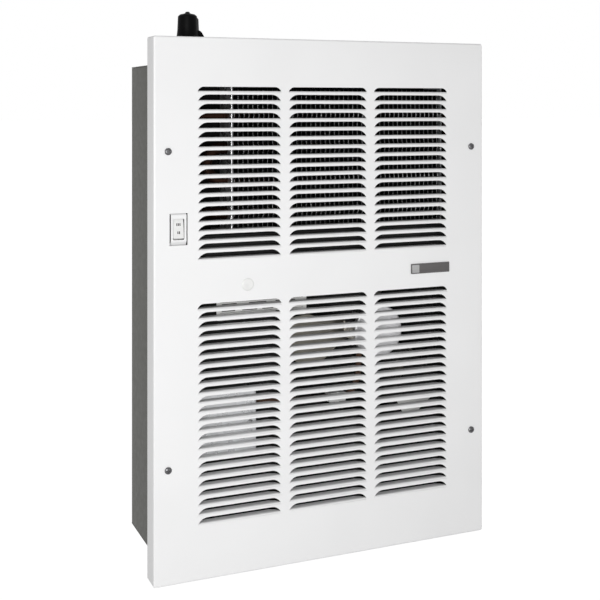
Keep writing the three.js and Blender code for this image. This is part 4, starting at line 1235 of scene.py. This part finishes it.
def wiring_box():
    """Folded tray with holes for the leads and the cable."""
    low, high = cad_box("wiring_box")
    tray = prism(rectangle(low.x, high.x, low.z, high.z, 1.8), low.y, high.y)
    hollow = prism(rectangle(low.x + SHEET, high.x - SHEET, low.z + SHEET, high.z - SHEET, 0.9),
                   low.y - 1, high.y - SHEET)
    bushing = cad_middle("lead_bushing")
    holes = [drill(high.x, bushing.y, bushing.z, 8.3, "X", 28)]
    holes += [drill(x, y, high.z, LEAD_HOLE, "Z") for x, y in LEAD_HOLES]
    holes.append(drill(CABLE.x, CABLE.y, low.z, 8, "Z", 28))
    piece("wiring_box", boolean(tray, [hollow, *holes]), GALVANISED, bevel=0.2)


def wiring_box_cover():
    """Flat lid with two screw holes."""
    low, high = cad_box("wiring_box_cover")
    screws = [cad_middle(f"wiring_box_screw_{side}") for side in ("left", "right")]
    holes = [circle(s.x, s.z, 1.9, 16) for s in screws]
    panel = plate(rectangle(low.x, high.x, low.z, high.z, 2.5), holes, low.y, high.y)
    piece("wiring_box_cover", panel, PALE_ZINC)


def box_screw(node):
    """Slotted round-head screw."""
    low, high, middle = cad_place(node)
    tip = high.y - low.y
    profile = [(0, 0), (1.8, 0.1), (3.0, 0.7), (3.6, 1.5), (3.6, 2), (1.6, 2), (1.6, tip - 1), (0, tip)]
    head = turned(profile, (middle.x, low.y, middle.z), steps=32)
    slot = block(middle.x - 4, middle.x + 4, low.y - 1, low.y + 0.9, middle.z - 0.45, middle.z + 0.45)
    piece(node, boolean(head, [slot]), BRIGHT_ZINC, bevel=0.08, segments=1)


wiring_box()
wiring_box_cover()
box_screw("wiring_box_screw_left")
box_screw("wiring_box_screw_right")
for wired_node, wired_material, wired_bevel in (
    ("terminal_block", BLACK_PLASTIC, 0.4), ("lead_bushing", BLACK_PLASTIC, 0.4),
    ("cable_connector", PALE_ZINC, 0.4), ("ground_screw", GREEN_PAINT, 0.2),
    ("thermostat_clip", PLAIN_STEEL, 0.2), ("thermostat", BLACK_PLASTIC, 0.3),
    ("lead_connector", WHITE_PLASTIC, 0.5), ("motor_leads", BROWN_SLEEVE, 0),
    ("switch_leads", BROWN_SLEEVE, 0), ("thermostat_leads", BROWN_SLEEVE, 0),
):
    keep(wired_node, wired_material, wired_bevel)


# ---------------------------------------------------------------- floor, light and camera, in metres

FLOOR_DROP = 0.30
FLOOR_REACH = 60
# Aimed at the heater's middle, the two lights together leave a faint disc on the cover.
LIGHTS_AIM = Vector((0.4, 0, 0))
CAMERA_AT = (-0.5853, -1.4178, 0.2538)
CAMERA_TURN = -22.89
CAMERA_LENS = 64.69
CAMERA_SHIFT = -0.324


def by_ray(tree, seen, mirrored, cast):
    """A brightness: what is seen, what is mirrored, and what lights the surfaces all round."""
    rays = tree.nodes.new("ShaderNodeLightPath").outputs
    strength = seen
    for ray, value in (("Is Glossy Ray", mirrored), ("Is Diffuse Ray", cast)):
        strength = node(tree, "Mix", {"A": strength, "B": value, "Factor": rays[ray]}, "Result")
    return strength


def floor():
    surface = Surface("pale floor", (0.08, 0.08, 0.08), 0.9)
    surface.shade(400, 0.02)
    surface.inputs["Emission Color"].default_value = (1, 1, 1, 1)
    glow = by_ray(surface.tree, seen=0.98, mirrored=0.6, cast=0.15)
    surface.tree.links.new(glow, surface.inputs["Emission Strength"])
    level = cad_bounds[0][2] - FLOOR_DROP
    corners = rectangle(-FLOOR_REACH, FLOOR_REACH, -FLOOR_REACH, FLOOR_REACH)
    bm = bmesh.new()
    bm.faces.new([bm.verts.new((x, y, level)) for x, y in corners])
    mesh = as_mesh(bm, "floor")
    mesh.materials.append(surface.material)
    as_object("floor", mesh)


def area_light(name, at, size, power):
    """A soft box aimed just to the right of the heater."""
    light = bpy.data.lights.new(name, "AREA")
    light.shape = "RECTANGLE"
    light.size, light.size_y = size
    light.energy = power
    made = as_object(name, light)
    made.location = at
    made.rotation_euler = (LIGHTS_AIM - Vector(at)).to_track_quat("-Z", "Y").to_euler()


def sky():
    world = bpy.data.worlds.new("studio")
    world.use_nodes = True
    background = world.node_tree.nodes["Background"]
    background.inputs["Color"].default_value = (1, 1, 1, 1)
    glow = by_ray(world.node_tree, seen=1.0, mirrored=0.6, cast=0.35)
    world.node_tree.links.new(glow, background.inputs["Strength"])
    bpy.context.scene.world = world


def camera():
    """Level, a little above the middle and to the left, shifted down so that uprights stay upright."""
    lens = bpy.data.cameras.new("camera")
    lens.lens = CAMERA_LENS
    lens.sensor_width = 36
    lens.shift_y = CAMERA_SHIFT
    made = as_object("camera", lens)
    made.location = CAMERA_AT
    made.rotation_euler = (math.radians(90), 0, math.radians(CAMERA_TURN))
    bpy.context.scene.camera = made


floor()
area_light("front softbox", (-0.9, -1.7, 0.1), size=(1.0, 0.5), power=21)
area_light("low fill", (0.9, -2.2, -0.6), size=(1.0, 1.0), power=6)
sky()
camera()
bpy.context.scene.view_settings.view_transform = "Standard"
